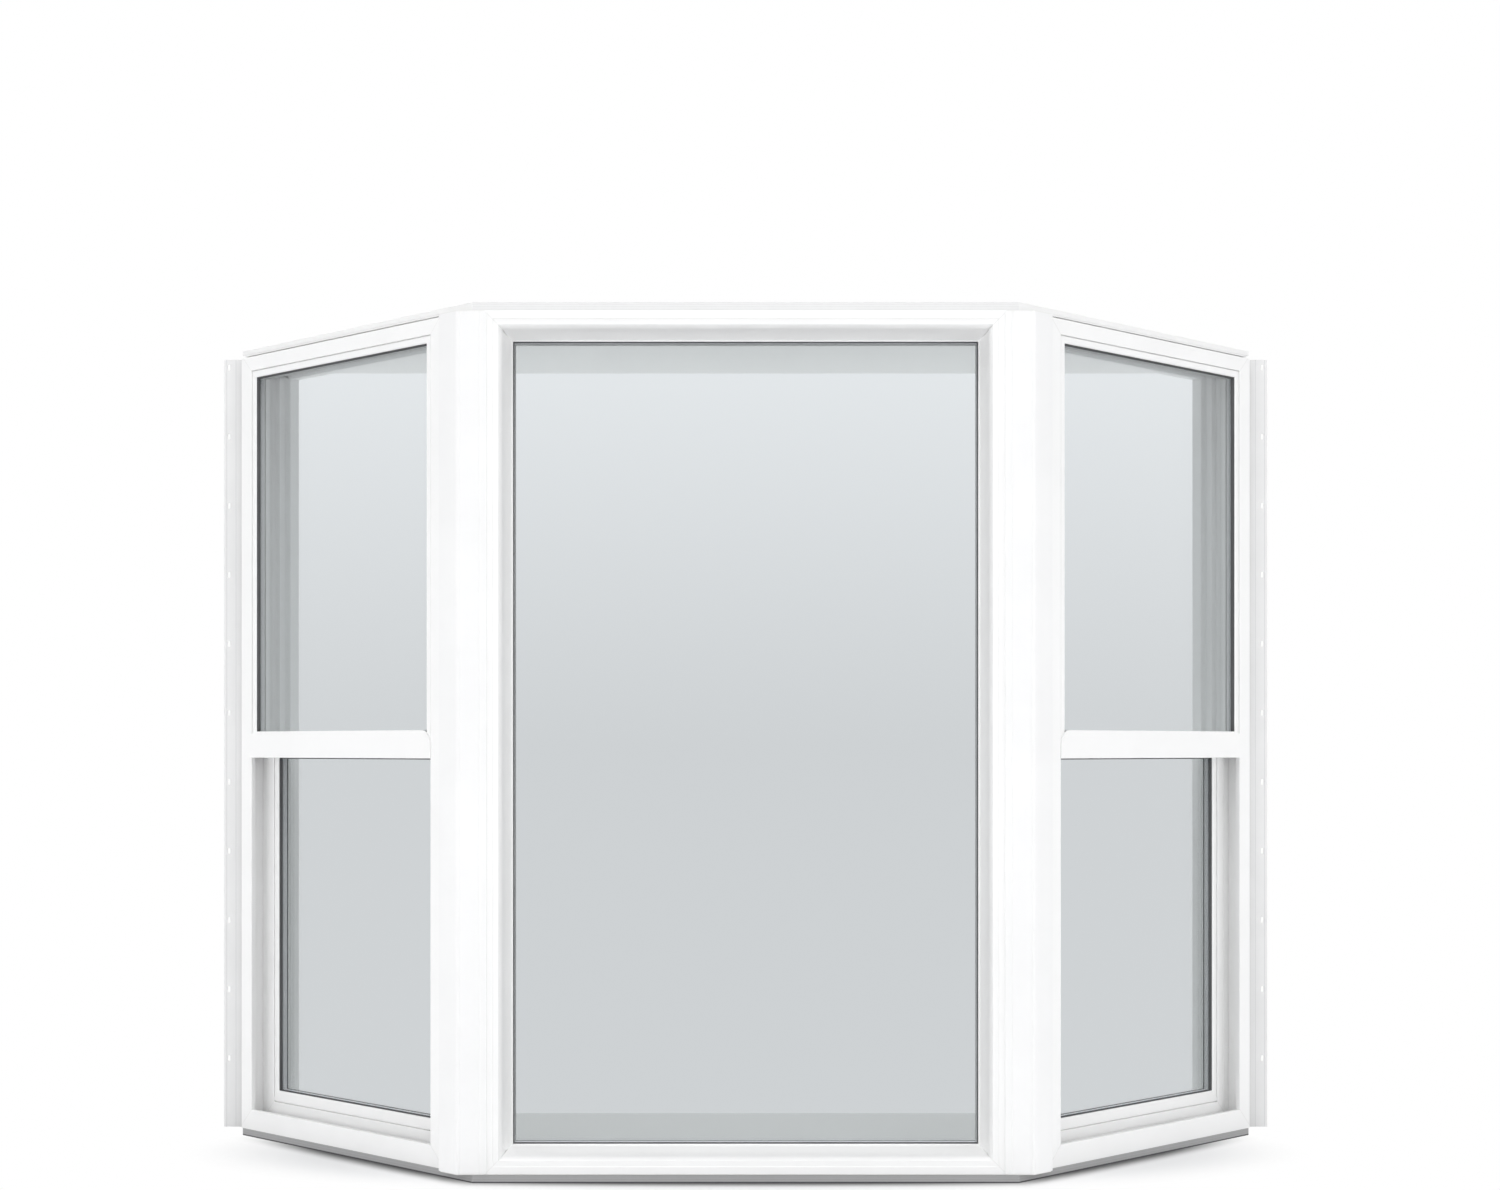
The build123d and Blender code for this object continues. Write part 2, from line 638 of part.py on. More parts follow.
sash_bead_box = (
    sash_left + SASH_STILE,
    SASH_FOOT + SASH_STILE,
    sash_right - SASH_STILE,
    SASH_TOP - SASH_TOP_RAIL,
)
sash_bead_sections = {side: bead_section(sash_beads[side]) for side in sash_beads}
save_pair(ring(SASH_PLANE, sash_bead_box, sash_bead_sections, sash_beads), "sash_glazing_bead")

sash_sight = (
    sash_bead_box[0] + BEAD_WIDTH,
    sash_bead_box[1] + SASH_BOTTOM_BEAD,
    sash_bead_box[2] - BEAD_WIDTH,
    sash_bead_box[3] - BEAD_WIDTH,
)
sash_glass = insulated_glass(SASH_PLANE, sash_sight, SIDE_GLASS_BACK, SIDE_CAVITY)
for part, stem in zip(sash_glass, ("outer_pane", "inner_pane", "spacer")):
    save_pair(part, f"sash_{stem}")

# ---- sash locks and their keepers ----

cam_reach = LOCK_BACK - KEEPER_DEPTH

sash_head_plane = Plane(origin=SASH_PLANE.from_local_coords((0, SASH_TOP, 0)), x_dir=ALONG, z_dir=UP)
with BuildPart() as sash_lock:
    with BuildSketch(sash_head_plane):
        with Locations((SIDE_WIDTH / 2, LOCK_BACK)):
            SlotOverall(LOCK_LENGTH, LOCK_WIDTH)
    extrude(amount=LOCK_BASE)
    with BuildSketch(sash_head_plane.offset(LOCK_BASE)):
        with Locations((SIDE_WIDTH / 2, LOCK_BACK)):
            Circle(LOCK_HUB)
        with Locations((SIDE_WIDTH / 2 + LEVER_LENGTH / 2, LOCK_BACK)):
            SlotOverall(LEVER_LENGTH, LEVER_WIDTH)
        with Locations((SIDE_WIDTH / 2, LOCK_BACK - cam_reach / 2)):
            Rectangle(CAM_WIDTH, cam_reach)
    extrude(amount=LOCK_HUB_HEIGHT)
    chamfer(sash_lock.faces().sort_by(Axis.Z)[-1].edges(), EDGE_RADIUS)
    with BuildSketch(SIDE_PLANE.offset(-upper_stop_end)):
        with Locations((SIDE_WIDTH / 2, SASH_TOP + KEEPER_FOOT + KEEPER_HEIGHT / 2)):
            Rectangle(KEEPER_LENGTH, KEEPER_HEIGHT)
    extrude(amount=-KEEPER_DEPTH)
save_pair(sash_lock.part, "sash_lock")

# ---- tilt latches in the ends of the top rails ----

with BuildPart() as tilt_latches:
    for end, inward in ((sash_left, 1), (sash_right, -1)):
        with BuildSketch(sash_head_plane):
            with Locations((end + inward * (LATCH_INSET + LATCH_LENGTH / 2), LATCH_BACK)):
                Rectangle(LATCH_LENGTH, LATCH_WIDTH)
        extrude(amount=LATCH_PLATE)
        with BuildSketch(sash_head_plane.offset(LATCH_PLATE)):
            with Locations((end + inward * (LATCH_INSET + LATCH_LENGTH - LATCH_BUTTON), LATCH_BACK)):
                SlotOverall(LATCH_BUTTON, LATCH_BUTTON_WIDTH)
        extrude(amount=LATCH_BUTTON_HEIGHT)
save_pair(tilt_latches.part, "tilt_latches")

# ---- nailing fins ----

fin_y = FACE_Y + FIN_BACK
fin_root_x = end_plane_sum - fin_y
leg_step = FIN_LEG * ALONG.X
skin = FIN_THICKNESS * sqrt(2)
with BuildPart() as fin:
    with BuildSketch(Plane.XY.offset(FRAME_BOTTOM)):
        with BuildLine():
            Polyline(
                (fin_root_x, fin_y),
                (FIN_EDGE_X, fin_y),
                (FIN_EDGE_X, fin_y + FIN_THICKNESS),
                (fin_root_x + skin - FIN_THICKNESS, fin_y + FIN_THICKNESS),
                (fin_root_x - leg_step + skin / 2, fin_y + leg_step + skin / 2),
                (fin_root_x - leg_step, fin_y + leg_step),
                close=True,
            )
        make_face()
    extrude(amount=FRAME_HEIGHT)
    slot_plane = Plane(origin=(SLOT_X, fin_y, FRAME_TOP - SLOT_FROM_TOP), x_dir=(0, 0, -1), z_dir=(0, 1, 0))
    with BuildSketch(slot_plane):
        with Locations(*[(index * SLOT_PITCH, 0) for index in range(SLOT_COUNT)]):
            SlotOverall(SLOT_LENGTH, SLOT_WIDTH)
    extrude(amount=FIN_THICKNESS, mode=Mode.SUBTRACT)
save_pair(fin.part, "nailing_fin")
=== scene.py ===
# %% [markdown]
# # A vinyl bay window
#
# This notebook dresses a bay window: a fixed picture window between two single-hung windows that
# are set at 45 degrees. The solid pieces come ready made and stay where they are. What is left to
# do is the finish of every surface, and the small parts that soften or seal the joints: gaskets,
# weld seams, sealant, packers, pile strips, screws and thumb ribs.

# %% Load the solid pieces
import bmesh
import bpy
from math import pi, radians, sqrt
from mathutils import Matrix, Vector


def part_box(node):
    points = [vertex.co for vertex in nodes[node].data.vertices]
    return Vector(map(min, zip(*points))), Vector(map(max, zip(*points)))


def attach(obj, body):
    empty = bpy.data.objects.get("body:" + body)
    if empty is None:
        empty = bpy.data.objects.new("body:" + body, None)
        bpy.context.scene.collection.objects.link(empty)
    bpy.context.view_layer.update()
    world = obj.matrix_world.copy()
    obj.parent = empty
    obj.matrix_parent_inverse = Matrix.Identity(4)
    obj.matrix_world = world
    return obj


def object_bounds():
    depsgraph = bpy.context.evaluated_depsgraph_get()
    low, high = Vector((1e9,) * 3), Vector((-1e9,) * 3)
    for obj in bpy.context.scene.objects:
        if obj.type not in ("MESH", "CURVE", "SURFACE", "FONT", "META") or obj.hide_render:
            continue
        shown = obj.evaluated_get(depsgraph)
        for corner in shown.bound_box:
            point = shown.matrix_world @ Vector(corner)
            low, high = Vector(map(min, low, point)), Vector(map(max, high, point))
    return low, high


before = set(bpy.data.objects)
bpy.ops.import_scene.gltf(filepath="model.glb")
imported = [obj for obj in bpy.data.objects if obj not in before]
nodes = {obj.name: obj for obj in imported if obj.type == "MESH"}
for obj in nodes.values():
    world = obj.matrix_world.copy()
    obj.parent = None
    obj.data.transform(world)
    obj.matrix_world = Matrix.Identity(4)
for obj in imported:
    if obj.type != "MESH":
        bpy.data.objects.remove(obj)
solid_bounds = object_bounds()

MM = 0.001
print("solid pieces:", len(nodes))

# %% [markdown]
# ## Camera
#
# The unit is looked at straight from the street, with the eye a little below mid-height. The
# camera could be tilted to frame it, but then upright edges would lean. A real view camera keeps
# them parallel by shifting its lens, and the camera's shift does the same here. The Standard view
# shows a colour as it is lit, where the filmic ones would grey the white vinyl.

# %% Camera
face_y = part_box("centre_head")[0][1]
foot_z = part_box("centre_sill")[0][2]

CAMERA_DISTANCE = 3.060
CAMERA_HEIGHT = 0.557
CAMERA_LENS = 56.3
CAMERA_SHIFT = (0.0029, 0.102)

camera_data = bpy.data.cameras.new("street_camera")
camera_data.lens = CAMERA_LENS
camera_data.sensor_width = 36.0
camera_data.shift_x, camera_data.shift_y = CAMERA_SHIFT
camera = bpy.data.objects.new("street_camera", camera_data)
scene = bpy.context.scene
scene.collection.objects.link(camera)
camera.location = (0, face_y - CAMERA_DISTANCE, foot_z + CAMERA_HEIGHT)
camera.rotation_euler = (pi / 2, 0, 0)
scene.camera = camera
scene.view_settings.view_transform = "Standard"
print("camera at", [round(v, 3) for v in camera.location])

# %% [markdown]
# ## Helpers for node trees
#
# A material is a small graph of nodes. It could be put together in the node editor, but a script
# can be read and run again. These helpers add a node with its values in one line, and join sockets
# two by two, so that each material below reads as a list of what feeds what.

# %% Node helpers
def wire(tree, pairs):
    """Join sockets two by two."""
    for outlet, inlet in pairs:
        tree.links.new(outlet, inlet)


def add_node(tree, kind, values=None, **settings):
    """Node with its settings and, by socket name or number, its plain values."""
    node = tree.nodes.new(kind)
    for name, value in settings.items():
        setattr(node, name, value)
    for name, value in (values or {}).items():
        node.inputs[name].default_value = value
    return node


def new_material(name):
    """Material with an empty node tree and its output."""
    material = bpy.data.materials.new(name)
    material.use_nodes = True
    tree = material.node_tree
    tree.nodes.clear()
    return material, tree, add_node(tree, "ShaderNodeOutputMaterial")


def seen_directly(tree):
    """One for camera rays and mirror rays, nought for the rest."""
    path = add_node(tree, "ShaderNodeLightPath")
    either = add_node(tree, "ShaderNodeMath", operation="MAXIMUM")
    wire(tree, [
        (path.outputs["Is Camera Ray"], either.inputs[0]),
        (path.outputs["Is Glossy Ray"], either.inputs[1]),
    ])
    return either.outputs[0]


print("helpers: wire, add_node, new_material, seen_directly")

# %% [markdown]
# ## Light and backdrop
#
# White things on white are drawn by their shades, so most of the light is soft and comes from all
# round. The backdrop could be a lit sheet, but it would need light that burns out the window as
# well. So the world tells rays apart instead: it is pure white to the camera and to mirrors, and
# through glass it is a graded screen, lighter above and greyer towards the ground, which is what
# makes clear panes readable against white. Every other ray gets the even light of the room.

# %% World
AMBIENT = 0.56
AMBIENT_COLOUR = (0.985, 0.992, 1.0)
SCREEN_LOW = 0.650
SCREEN_HIGH = 0.829
SCREEN_RISE = 0.16
SCREEN_EASE = 1.15
SCREEN_COLOUR = (0.997, 1.0, 1.02)

world = bpy.data.worlds.new("studio")
scene.world = world
world.use_nodes = True
sky = world.node_tree
sky.nodes.clear()
heading = add_node(sky, "ShaderNodeTexCoord")
heading_parts = add_node(sky, "ShaderNodeSeparateXYZ")
rise = add_node(sky, "ShaderNodeMapRange", values={"From Max": SCREEN_RISE})
ease = add_node(sky, "ShaderNodeMath", operation="POWER", values={1: SCREEN_EASE})
screen = add_node(sky, "ShaderNodeMath", operation="MULTIPLY_ADD",
                  values={1: SCREEN_HIGH - SCREEN_LOW, 2: SCREEN_LOW})
ambient = add_node(sky, "ShaderNodeBackground", values={"Color": (*AMBIENT_COLOUR, 1), "Strength": AMBIENT})
backdrop = add_node(sky, "ShaderNodeBackground", values={"Color": (1, 1, 1, 1)})
graded = add_node(sky, "ShaderNodeBackground", values={"Color": (*SCREEN_COLOUR, 1)})
ray = add_node(sky, "ShaderNodeLightPath")
pick_open = add_node(sky, "ShaderNodeMixShader")
pick_glass = add_node(sky, "ShaderNodeMixShader")
sky_out = add_node(sky, "ShaderNodeOutputWorld")
wire(sky, [
    (heading.outputs["Generated"], heading_parts.inputs[0]),
    (heading_parts.outputs["Z"], rise.inputs["Value"]),
    (rise.outputs["Result"], ease.inputs[0]),
    (ease.outputs[0], screen.inputs[0]),
    (screen.outputs[0], graded.inputs["Strength"]),
    (seen_directly(sky), pick_open.inputs["Fac"]),
    (ambient.outputs[0], pick_open.inputs[1]),
    (backdrop.outputs[0], pick_open.inputs[2]),
    (ray.outputs["Is Transmission Ray"], pick_glass.inputs["Fac"]),
    (pick_open.outputs[0], pick_glass.inputs[1]),
    (graded.outputs[0], pick_glass.inputs[2]),
    (pick_glass.outputs[0], sky_out.inputs["Surface"]),
])
print("ambient level:", AMBIENT)

# %% [markdown]
# Square lamps draw the shapes. One hangs high in front, one stands far in front and one at each
# side, three small ones just above the floor lift the lower half of the frames, and one stands in
# the room. Point lamps would draw hard shadows, and a sun would light every part alike. The lamps
# show in nothing, so that the panes mirror no bright squares.

# %% Lamps
def softbox(name, place, target, size, watts):
    """Square area lamp at place, aimed at target, that shows in nothing."""
    data = bpy.data.lights.new(name, "AREA")
    data.shape = "SQUARE"
    data.size = size
    data.energy = watts
    lamp = bpy.data.objects.new(name, data)
    scene.collection.objects.link(lamp)
    lamp.location = place
    lamp.rotation_euler = (Vector(target) - Vector(place)).to_track_quat("-Z", "Y").to_euler()
    lamp.visible_camera = False
    lamp.visible_glossy = False
    lamp.visible_transmission = False


def softbox_pair(stem, place, target, size, watts):
    """Two lamps that mirror each other: place and target are those of the right-hand one."""
    for side, sign in (("left", -1), ("right", 1)):
        softbox(f"{stem}_{side}", (sign * place[0], *place[1:]), (sign * target[0], *target[1:]), size, watts)


middle = (0, 0, 0.6)
softbox("top_front", (0.0, -1.3, 3.6), (0, -0.2, 0.4), 2.2, 50.4)
softbox("key_front", (0.0, -3.8, 0.7), middle, 3.0, 3.2)
softbox_pair("side", (3.5, -1.9, 0.75), middle, 2.2, 29.4)
softbox_pair("low", (1.3, -1.2, 0.02), (0.35, -0.1, 0.25), 1.0, 3.2)
softbox("low_front", (0.0, -1.7, 0.02), (0, -0.25, 0.2), 1.0, 2.3)
softbox("room_low", (0.0, 2.6, 0.5), (0, 0, 0.9), 1.6, 26)

# %% [markdown]
# ## Floor
#
# The floor is white paper. Close to the unit it is a plain matt surface that takes its shadow.
# Further out it turns into glowing white, so that it meets the backdrop without a line. A second
# piece of paper could stand behind it, but then the join would show from the side. Through glass
# the floor has the same grey as the foot of the graded screen.

# %% Floor sheet
FLOOR_SIZE = 14.0

floor_mesh = bmesh.new()
bmesh.ops.create_grid(floor_mesh, x_segments=1, y_segments=1, size=FLOOR_SIZE / 2)
floor_data = bpy.data.meshes.new("floor")
floor_mesh.to_mesh(floor_data)
floor_mesh.free()
floor = bpy.data.objects.new("floor", floor_data)
scene.collection.objects.link(floor)
print("floor:", FLOOR_SIZE, "m across")

# %% [markdown]
# Right beside the seat board the paper is darker, because the board hides much of the light from
# it. A blurred picture of the shadow could be laid on the paper, but a distance needs no picture.
# How far a point lies outside the board's outline is the largest of its distances from the board's
# front, wings, sides and back. Both wings are one distance, measured on the point mirrored to the
# right-hand half.

# %% Distance outside the seat board
SLANT = sqrt(0.5)  # sine and cosine of the 45 degrees that the wings are set at


def outside_board(tree, place):
    """Distance of a point on the floor from the seat board's outline, below nought inside it."""
    low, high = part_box("seat_board")
    wing_reach = max((abs(v.co.x) - v.co.y) * SLANT for v in nodes["seat_board"].data.vertices)
    parts = add_node(tree, "ShaderNodeSeparateXYZ")
    across = add_node(tree, "ShaderNodeMath", operation="ABSOLUTE")
    slanted = add_node(tree, "ShaderNodeMath", operation="SUBTRACT")
    front = add_node(tree, "ShaderNodeMath", operation="MULTIPLY_ADD", values={1: -1.0, 2: low[1]})
    wing = add_node(tree, "ShaderNodeMath", operation="MULTIPLY_ADD", values={1: SLANT, 2: -wing_reach})
    side = add_node(tree, "ShaderNodeMath", operation="SUBTRACT", values={1: high[0]})
    back = add_node(tree, "ShaderNodeMath", operation="SUBTRACT", values={1: high[1]})
    wire(tree, [
        (place, parts.inputs[0]),
        (parts.outputs["X"], across.inputs[0]),
        (across.outputs[0], slanted.inputs[0]),
        (parts.outputs["Y"], slanted.inputs[1]),
        (parts.outputs["Y"], front.inputs[0]),
        (slanted.outputs[0], wing.inputs[0]),
        (across.outputs[0], side.inputs[0]),
        (parts.outputs["Y"], back.inputs[0]),
    ])
    outside = front
    for distance in (wing, side, back):
        larger = add_node(tree, "ShaderNodeMath", operation="MAXIMUM")
        wire(tree, [(outside.outputs[0], larger.inputs[0]), (distance.outputs[0], larger.inputs[1])])
        outside = larger
    return outside.outputs[0]


# %% [markdown]
# The paper itself has a faint tone of fibres. The light far out fades in over an oval around the
# unit, and only for rays that see the floor, so that it throws no light of its own on to the
# frames.

# %% Paper
SHADOW_WIDTH = 0.80
SHADOW_DEPTH = 0.36
NEAR_EDGE = 0.72
FAR_EDGE = 1.0
CONTACT_REACH = 0.038
CONTACT_SHADE = 0.20
PAPER = (0.91, 0.91, 0.915, 1)
PAPER_FIBRE = (0.925, 0.925, 0.93, 1)

paper, tree, paper_out = new_material("white_paper")
place = add_node(tree, "ShaderNodeTexCoord").outputs["Object"]
oval = add_node(tree, "ShaderNodeMapping", values={"Scale": (1 / SHADOW_WIDTH, 1 / SHADOW_DEPTH, 1)})
reach = add_node(tree, "ShaderNodeVectorMath", operation="LENGTH")
far_away = add_node(tree, "ShaderNodeMapRange", interpolation_type="SMOOTHSTEP",
                    values={"From Min": NEAR_EDGE, "From Max": FAR_EDGE})
far_seen = add_node(tree, "ShaderNodeMath", operation="MULTIPLY")
fibre = add_node(tree, "ShaderNodeTexNoise", values={"Scale": 260.0, "Detail": 3.0})
contact = add_node(tree, "ShaderNodeMapRange", interpolation_type="SMOOTHSTEP",
                   values={"From Max": CONTACT_REACH, "To Min": CONTACT_SHADE})
shaded = add_node(tree, "ShaderNodeMix", data_type="RGBA", blend_type="MULTIPLY")
shaded.inputs["Factor"].default_value = 1.0
tone = add_node(tree, "ShaderNodeMix", data_type="RGBA")
tone.inputs["A"].default_value = PAPER
tone.inputs["B"].default_value = PAPER_FIBRE
matt = add_node(tree, "ShaderNodeBsdfDiffuse")
glow = add_node(tree, "ShaderNodeEmission", values={"Color": (1, 1, 1, 1), "Strength": 1.0})
screen_foot = add_node(tree, "ShaderNodeEmission",
                       values={"Color": (*SCREEN_COLOUR, 1), "Strength": SCREEN_LOW})
near_or_far = add_node(tree, "ShaderNodeMixShader")
open_or_glass = add_node(tree, "ShaderNodeMixShader")
ray = add_node(tree, "ShaderNodeLightPath")
wire(tree, [
    (place, oval.inputs["Vector"]),
    (oval.outputs["Vector"], reach.inputs[0]),
    (reach.outputs["Value"], far_away.inputs["Value"]),
    (far_away.outputs["Result"], far_seen.inputs[0]),
    (seen_directly(tree), far_seen.inputs[1]),
    (place, fibre.inputs["Vector"]),
    (fibre.outputs["Fac"], tone.inputs["Factor"]),
    (outside_board(tree, place), contact.inputs["Value"]),
    (tone.outputs["Result"], shaded.inputs["A"]),
    (contact.outputs["Result"], shaded.inputs["B"]),
    (shaded.outputs["Result"], matt.inputs["Color"]),
    (far_seen.outputs[0], near_or_far.inputs["Fac"]),
    (matt.outputs[0], near_or_far.inputs[1]),
    (glow.outputs[0], near_or_far.inputs[2]),
    (ray.outputs["Is Transmission Ray"], open_or_glass.inputs["Fac"]),
    (near_or_far.outputs[0], open_or_glass.inputs[1]),
    (screen_foot.outputs[0], open_or_glass.inputs[2]),
    (open_or_glass.outputs[0], paper_out.inputs["Surface"]),
])
floor_data.materials.append(paper)
print("shadow near the board reaches", round(CONTACT_REACH * 1000), "mm")

# %% [markdown]
# ## White vinyl
#
# Window vinyl is extruded through a die, so it is smooth along its length and carries very faint
# draw lines. It has a satin skin that is never quite one white. A flat white would do from afar,
# but up close it looks like paint. Both effects go into one node group, so that frames, sashes
# and covers share them with values of their own.

# %% Vinyl skin group
def group_socket(tree, name, way, kind, value=None):
    """Socket on a node group, with its default."""
    socket = tree.interface.new_socket(name=name, in_out=way, socket_type=kind)
    if value is not None:
        socket.default_value = value


skin = bpy.data.node_groups.new("extruded_skin", "ShaderNodeTree")
group_socket(skin, "Vector", "INPUT", "NodeSocketVector")
group_socket(skin, "Drawn", "INPUT", "NodeSocketVector")
group_socket(skin, "Colour", "INPUT", "NodeSocketColor", (0.93, 0.93, 0.92, 1))
group_socket(skin, "Shade", "INPUT", "NodeSocketColor", (0.88, 0.88, 0.87, 1))
group_socket(skin, "Roughness", "INPUT", "NodeSocketFloat", 0.35)
group_socket(skin, "Colour", "OUTPUT", "NodeSocketColor")
group_socket(skin, "Roughness", "OUTPUT", "NodeSocketFloat")
group_socket(skin, "Height", "OUTPUT", "NodeSocketFloat")
skin_in = add_node(skin, "NodeGroupInput")
skin_out = add_node(skin, "NodeGroupOutput")
clouds = add_node(skin, "ShaderNodeTexNoise", values={"Scale": 9.0, "Detail": 4.0, "Roughness": 0.55})
cloud_range = add_node(skin, "ShaderNodeMapRange", values={"From Min": 0.35, "From Max": 0.75})
lines = add_node(skin, "ShaderNodeTexNoise", values={"Scale": 1.0, "Detail": 4.0, "Roughness": 0.6})
peel = add_node(skin, "ShaderNodeTexNoise", values={"Scale": 700.0, "Detail": 2.0})
blend_colour = add_node(skin, "ShaderNodeMix", data_type="RGBA")
rough_up = add_node(skin, "ShaderNodeMath", operation="MULTIPLY_ADD", values={1: 0.14})
height_mix = add_node(skin, "ShaderNodeMath", operation="MULTIPLY_ADD", values={1: 0.35})
wire(skin, [
    (skin_in.outputs["Vector"], clouds.inputs["Vector"]),
    (skin_in.outputs["Drawn"], lines.inputs["Vector"]),
    (skin_in.outputs["Vector"], peel.inputs["Vector"]),
    (clouds.outputs["Fac"], cloud_range.inputs["Value"]),
    (cloud_range.outputs["Result"], blend_colour.inputs["Factor"]),
    (skin_in.outputs["Colour"], blend_colour.inputs["A"]),
    (skin_in.outputs["Shade"], blend_colour.inputs["B"]),
    (lines.outputs["Fac"], rough_up.inputs[0]),
    (skin_in.outputs["Roughness"], rough_up.inputs[2]),
    (peel.outputs["Fac"], height_mix.inputs[0]),
    (lines.outputs["Fac"], height_mix.inputs[2]),
    (blend_colour.outputs["Result"], skin_out.inputs["Colour"]),
    (rough_up.outputs[0], skin_out.inputs["Roughness"]),
    (height_mix.outputs[0], skin_out.inputs["Height"]),
])
print("skin sockets:", len(skin.interface.items_tree))

# %% [markdown]
# The draw lines run along the piece, so their pattern is squeezed hard across it and hardly at
# all along it. One material serves upright pieces, and one serves each direction in which level
# pieces run. Stretching the pattern by the piece's own shape would need an unwrapped surface, and
# a turned and scaled Mapping node gives the same without one.

# %% Vinyl materials
ACROSS = 400.0
LENGTHWISE = 3.0
VINYL_IOR = 1.53
WHITE = (0.93, 0.93, 0.928)
WHITE_SHADE = (0.908, 0.908, 0.905)


def vinyl(name, colour=WHITE, shade=WHITE_SHADE, roughness=0.34, turn=0.0, upright=True, relief=0.03):
    """Satin extruded vinyl with draw lines along an upright piece, or along a level one at an angle."""
    material, tree, out = new_material(name)
    place = add_node(tree, "ShaderNodeTexCoord")
    squeeze = add_node(tree, "ShaderNodeMapping", vector_type="TEXTURE")
    squeeze.inputs["Rotation"].default_value = (0, 0, turn)
    small, large = 1 / ACROSS, 1 / LENGTHWISE
    squeeze.inputs["Scale"].default_value = (small, small, large) if upright else (large, small, small)
    surface = add_node(tree, "ShaderNodeGroup", node_tree=skin, values={
        "Colour": (*colour, 1), "Shade": (*shade, 1), "Roughness": roughness})
    bump = add_node(tree, "ShaderNodeBump", values={"Strength": 0.5, "Distance": relief * MM})
    body = add_node(tree, "ShaderNodeBsdfPrincipled", values={"IOR": VINYL_IOR})
    wire(tree, [
        (place.outputs["Object"], squeeze.inputs["Vector"]),
        (place.outputs["Object"], surface.inputs["Vector"]),
        (squeeze.outputs["Vector"], surface.inputs["Drawn"]),
        (surface.outputs["Colour"], body.inputs["Base Color"]),
        (surface.outputs["Roughness"], body.inputs["Roughness"]),
        (surface.outputs["Height"], bump.inputs["Height"]),
        (bump.outputs["Normal"], body.inputs["Normal"]),
        (body.outputs[0], out.inputs["Surface"]),
    ])
    return material


vinyl_upright = vinyl("white_vinyl_upright")
vinyl_level = vinyl("white_vinyl_level", upright=False)
vinyl_right = vinyl("white_vinyl_right_wing", turn=radians(45), upright=False)
vinyl_left = vinyl("white_vinyl_left_wing", turn=radians(-45), upright=False)
vinyl_cover = vinyl("cover_vinyl", (0.905, 0.905, 0.905), (0.875, 0.875, 0.877), 0.46, relief=0.02)
vinyl_post = vinyl("post_vinyl", (0.86, 0.86, 0.85), (0.82, 0.82, 0.81), 0.55)
print("vinyl finishes:", [m.name for m in bpy.data.materials if "vinyl" in m.name])

# %% [markdown]
# ## Nailing fin
#
# The fin is a thin strip of regrind vinyl, a little greyer than the frames. Two score lines run down it,
# where it can be folded or snapped off, and its root lies in the shade of the frame, which is painted on as a
# darker band. The lines could be cut into the strip, but they are finer than its skin is rough, so they are
# bands of relief, darkened with the painted shade of a groove. They are found from the distance to the middle
# of the unit, so that one material serves both fins.

# %% Fin material
SCORE_OFFSETS = (4.0 * MM, 17.5 * MM)
SCORE_HALF_WIDTH = 0.45 * MM
SCORE_DEPTH = 6.0
# Tone of the painted shade in the score lines' grooves.
SCORE_SHADE = (0.55, 0.56, 0.57, 1)
FIN_SHADE_WIDTH = 26.0 * MM
FIN_SHADE = 0.90

fin_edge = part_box("right_nailing_fin")[1][0]

vinyl_fin, tree, fin_out = new_material("fin_vinyl")
place = add_node(tree, "ShaderNodeTexCoord")
parts = add_node(tree, "ShaderNodeSeparateXYZ")
off_middle = add_node(tree, "ShaderNodeMath", operation="ABSOLUTE")
fin_skin = add_node(tree, "ShaderNodeGroup", node_tree=skin, values={
    "Colour": (0.84, 0.84, 0.84, 1), "Shade": (0.80, 0.80, 0.80, 1), "Roughness": 0.5})
squeeze = add_node(tree, "ShaderNodeMapping", vector_type="TEXTURE")
squeeze.inputs["Scale"].default_value = (1 / ACROSS, 1 / ACROSS, 1 / LENGTHWISE)
wire(tree, [
    (place.outputs["Object"], parts.inputs[0]),
    (parts.outputs["X"], off_middle.inputs[0]),
    (place.outputs["Object"], squeeze.inputs["Vector"]),
    (place.outputs["Object"], fin_skin.inputs["Vector"]),
    (squeeze.outputs["Vector"], fin_skin.inputs["Drawn"]),
])
scored = add_node(tree, "ShaderNodeMath", operation="MAXIMUM")
for socket, offset in zip(scored.inputs, SCORE_OFFSETS):
    line = add_node(tree, "ShaderNodeMath", operation="COMPARE",
                    values={1: fin_edge - offset, 2: SCORE_HALF_WIDTH})
    wire(tree, [(off_middle.outputs[0], line.inputs[0]), (line.outputs[0], socket)])
groove = add_node(tree, "ShaderNodeMath", operation="MULTIPLY_ADD", values={1: -SCORE_DEPTH})
darker = add_node(tree, "ShaderNodeMix", data_type="RGBA")
darker.inputs["B"].default_value = SCORE_SHADE
soften = add_node(tree, "ShaderNodeMath", operation="MULTIPLY", values={1: 0.5})
rooted = add_node(tree, "ShaderNodeMapRange", values={
    "From Min": fin_edge - FIN_SHADE_WIDTH, "From Max": fin_edge, "To Min": FIN_SHADE, "To Max": 1.0})
fin_tone = add_node(tree, "ShaderNodeMix", data_type="RGBA", blend_type="MULTIPLY")
fin_tone.inputs["Factor"].default_value = 1.0
bump = add_node(tree, "ShaderNodeBump", values={"Strength": 0.5, "Distance": 0.04 * MM})
body = add_node(tree, "ShaderNodeBsdfPrincipled", values={"IOR": VINYL_IOR})
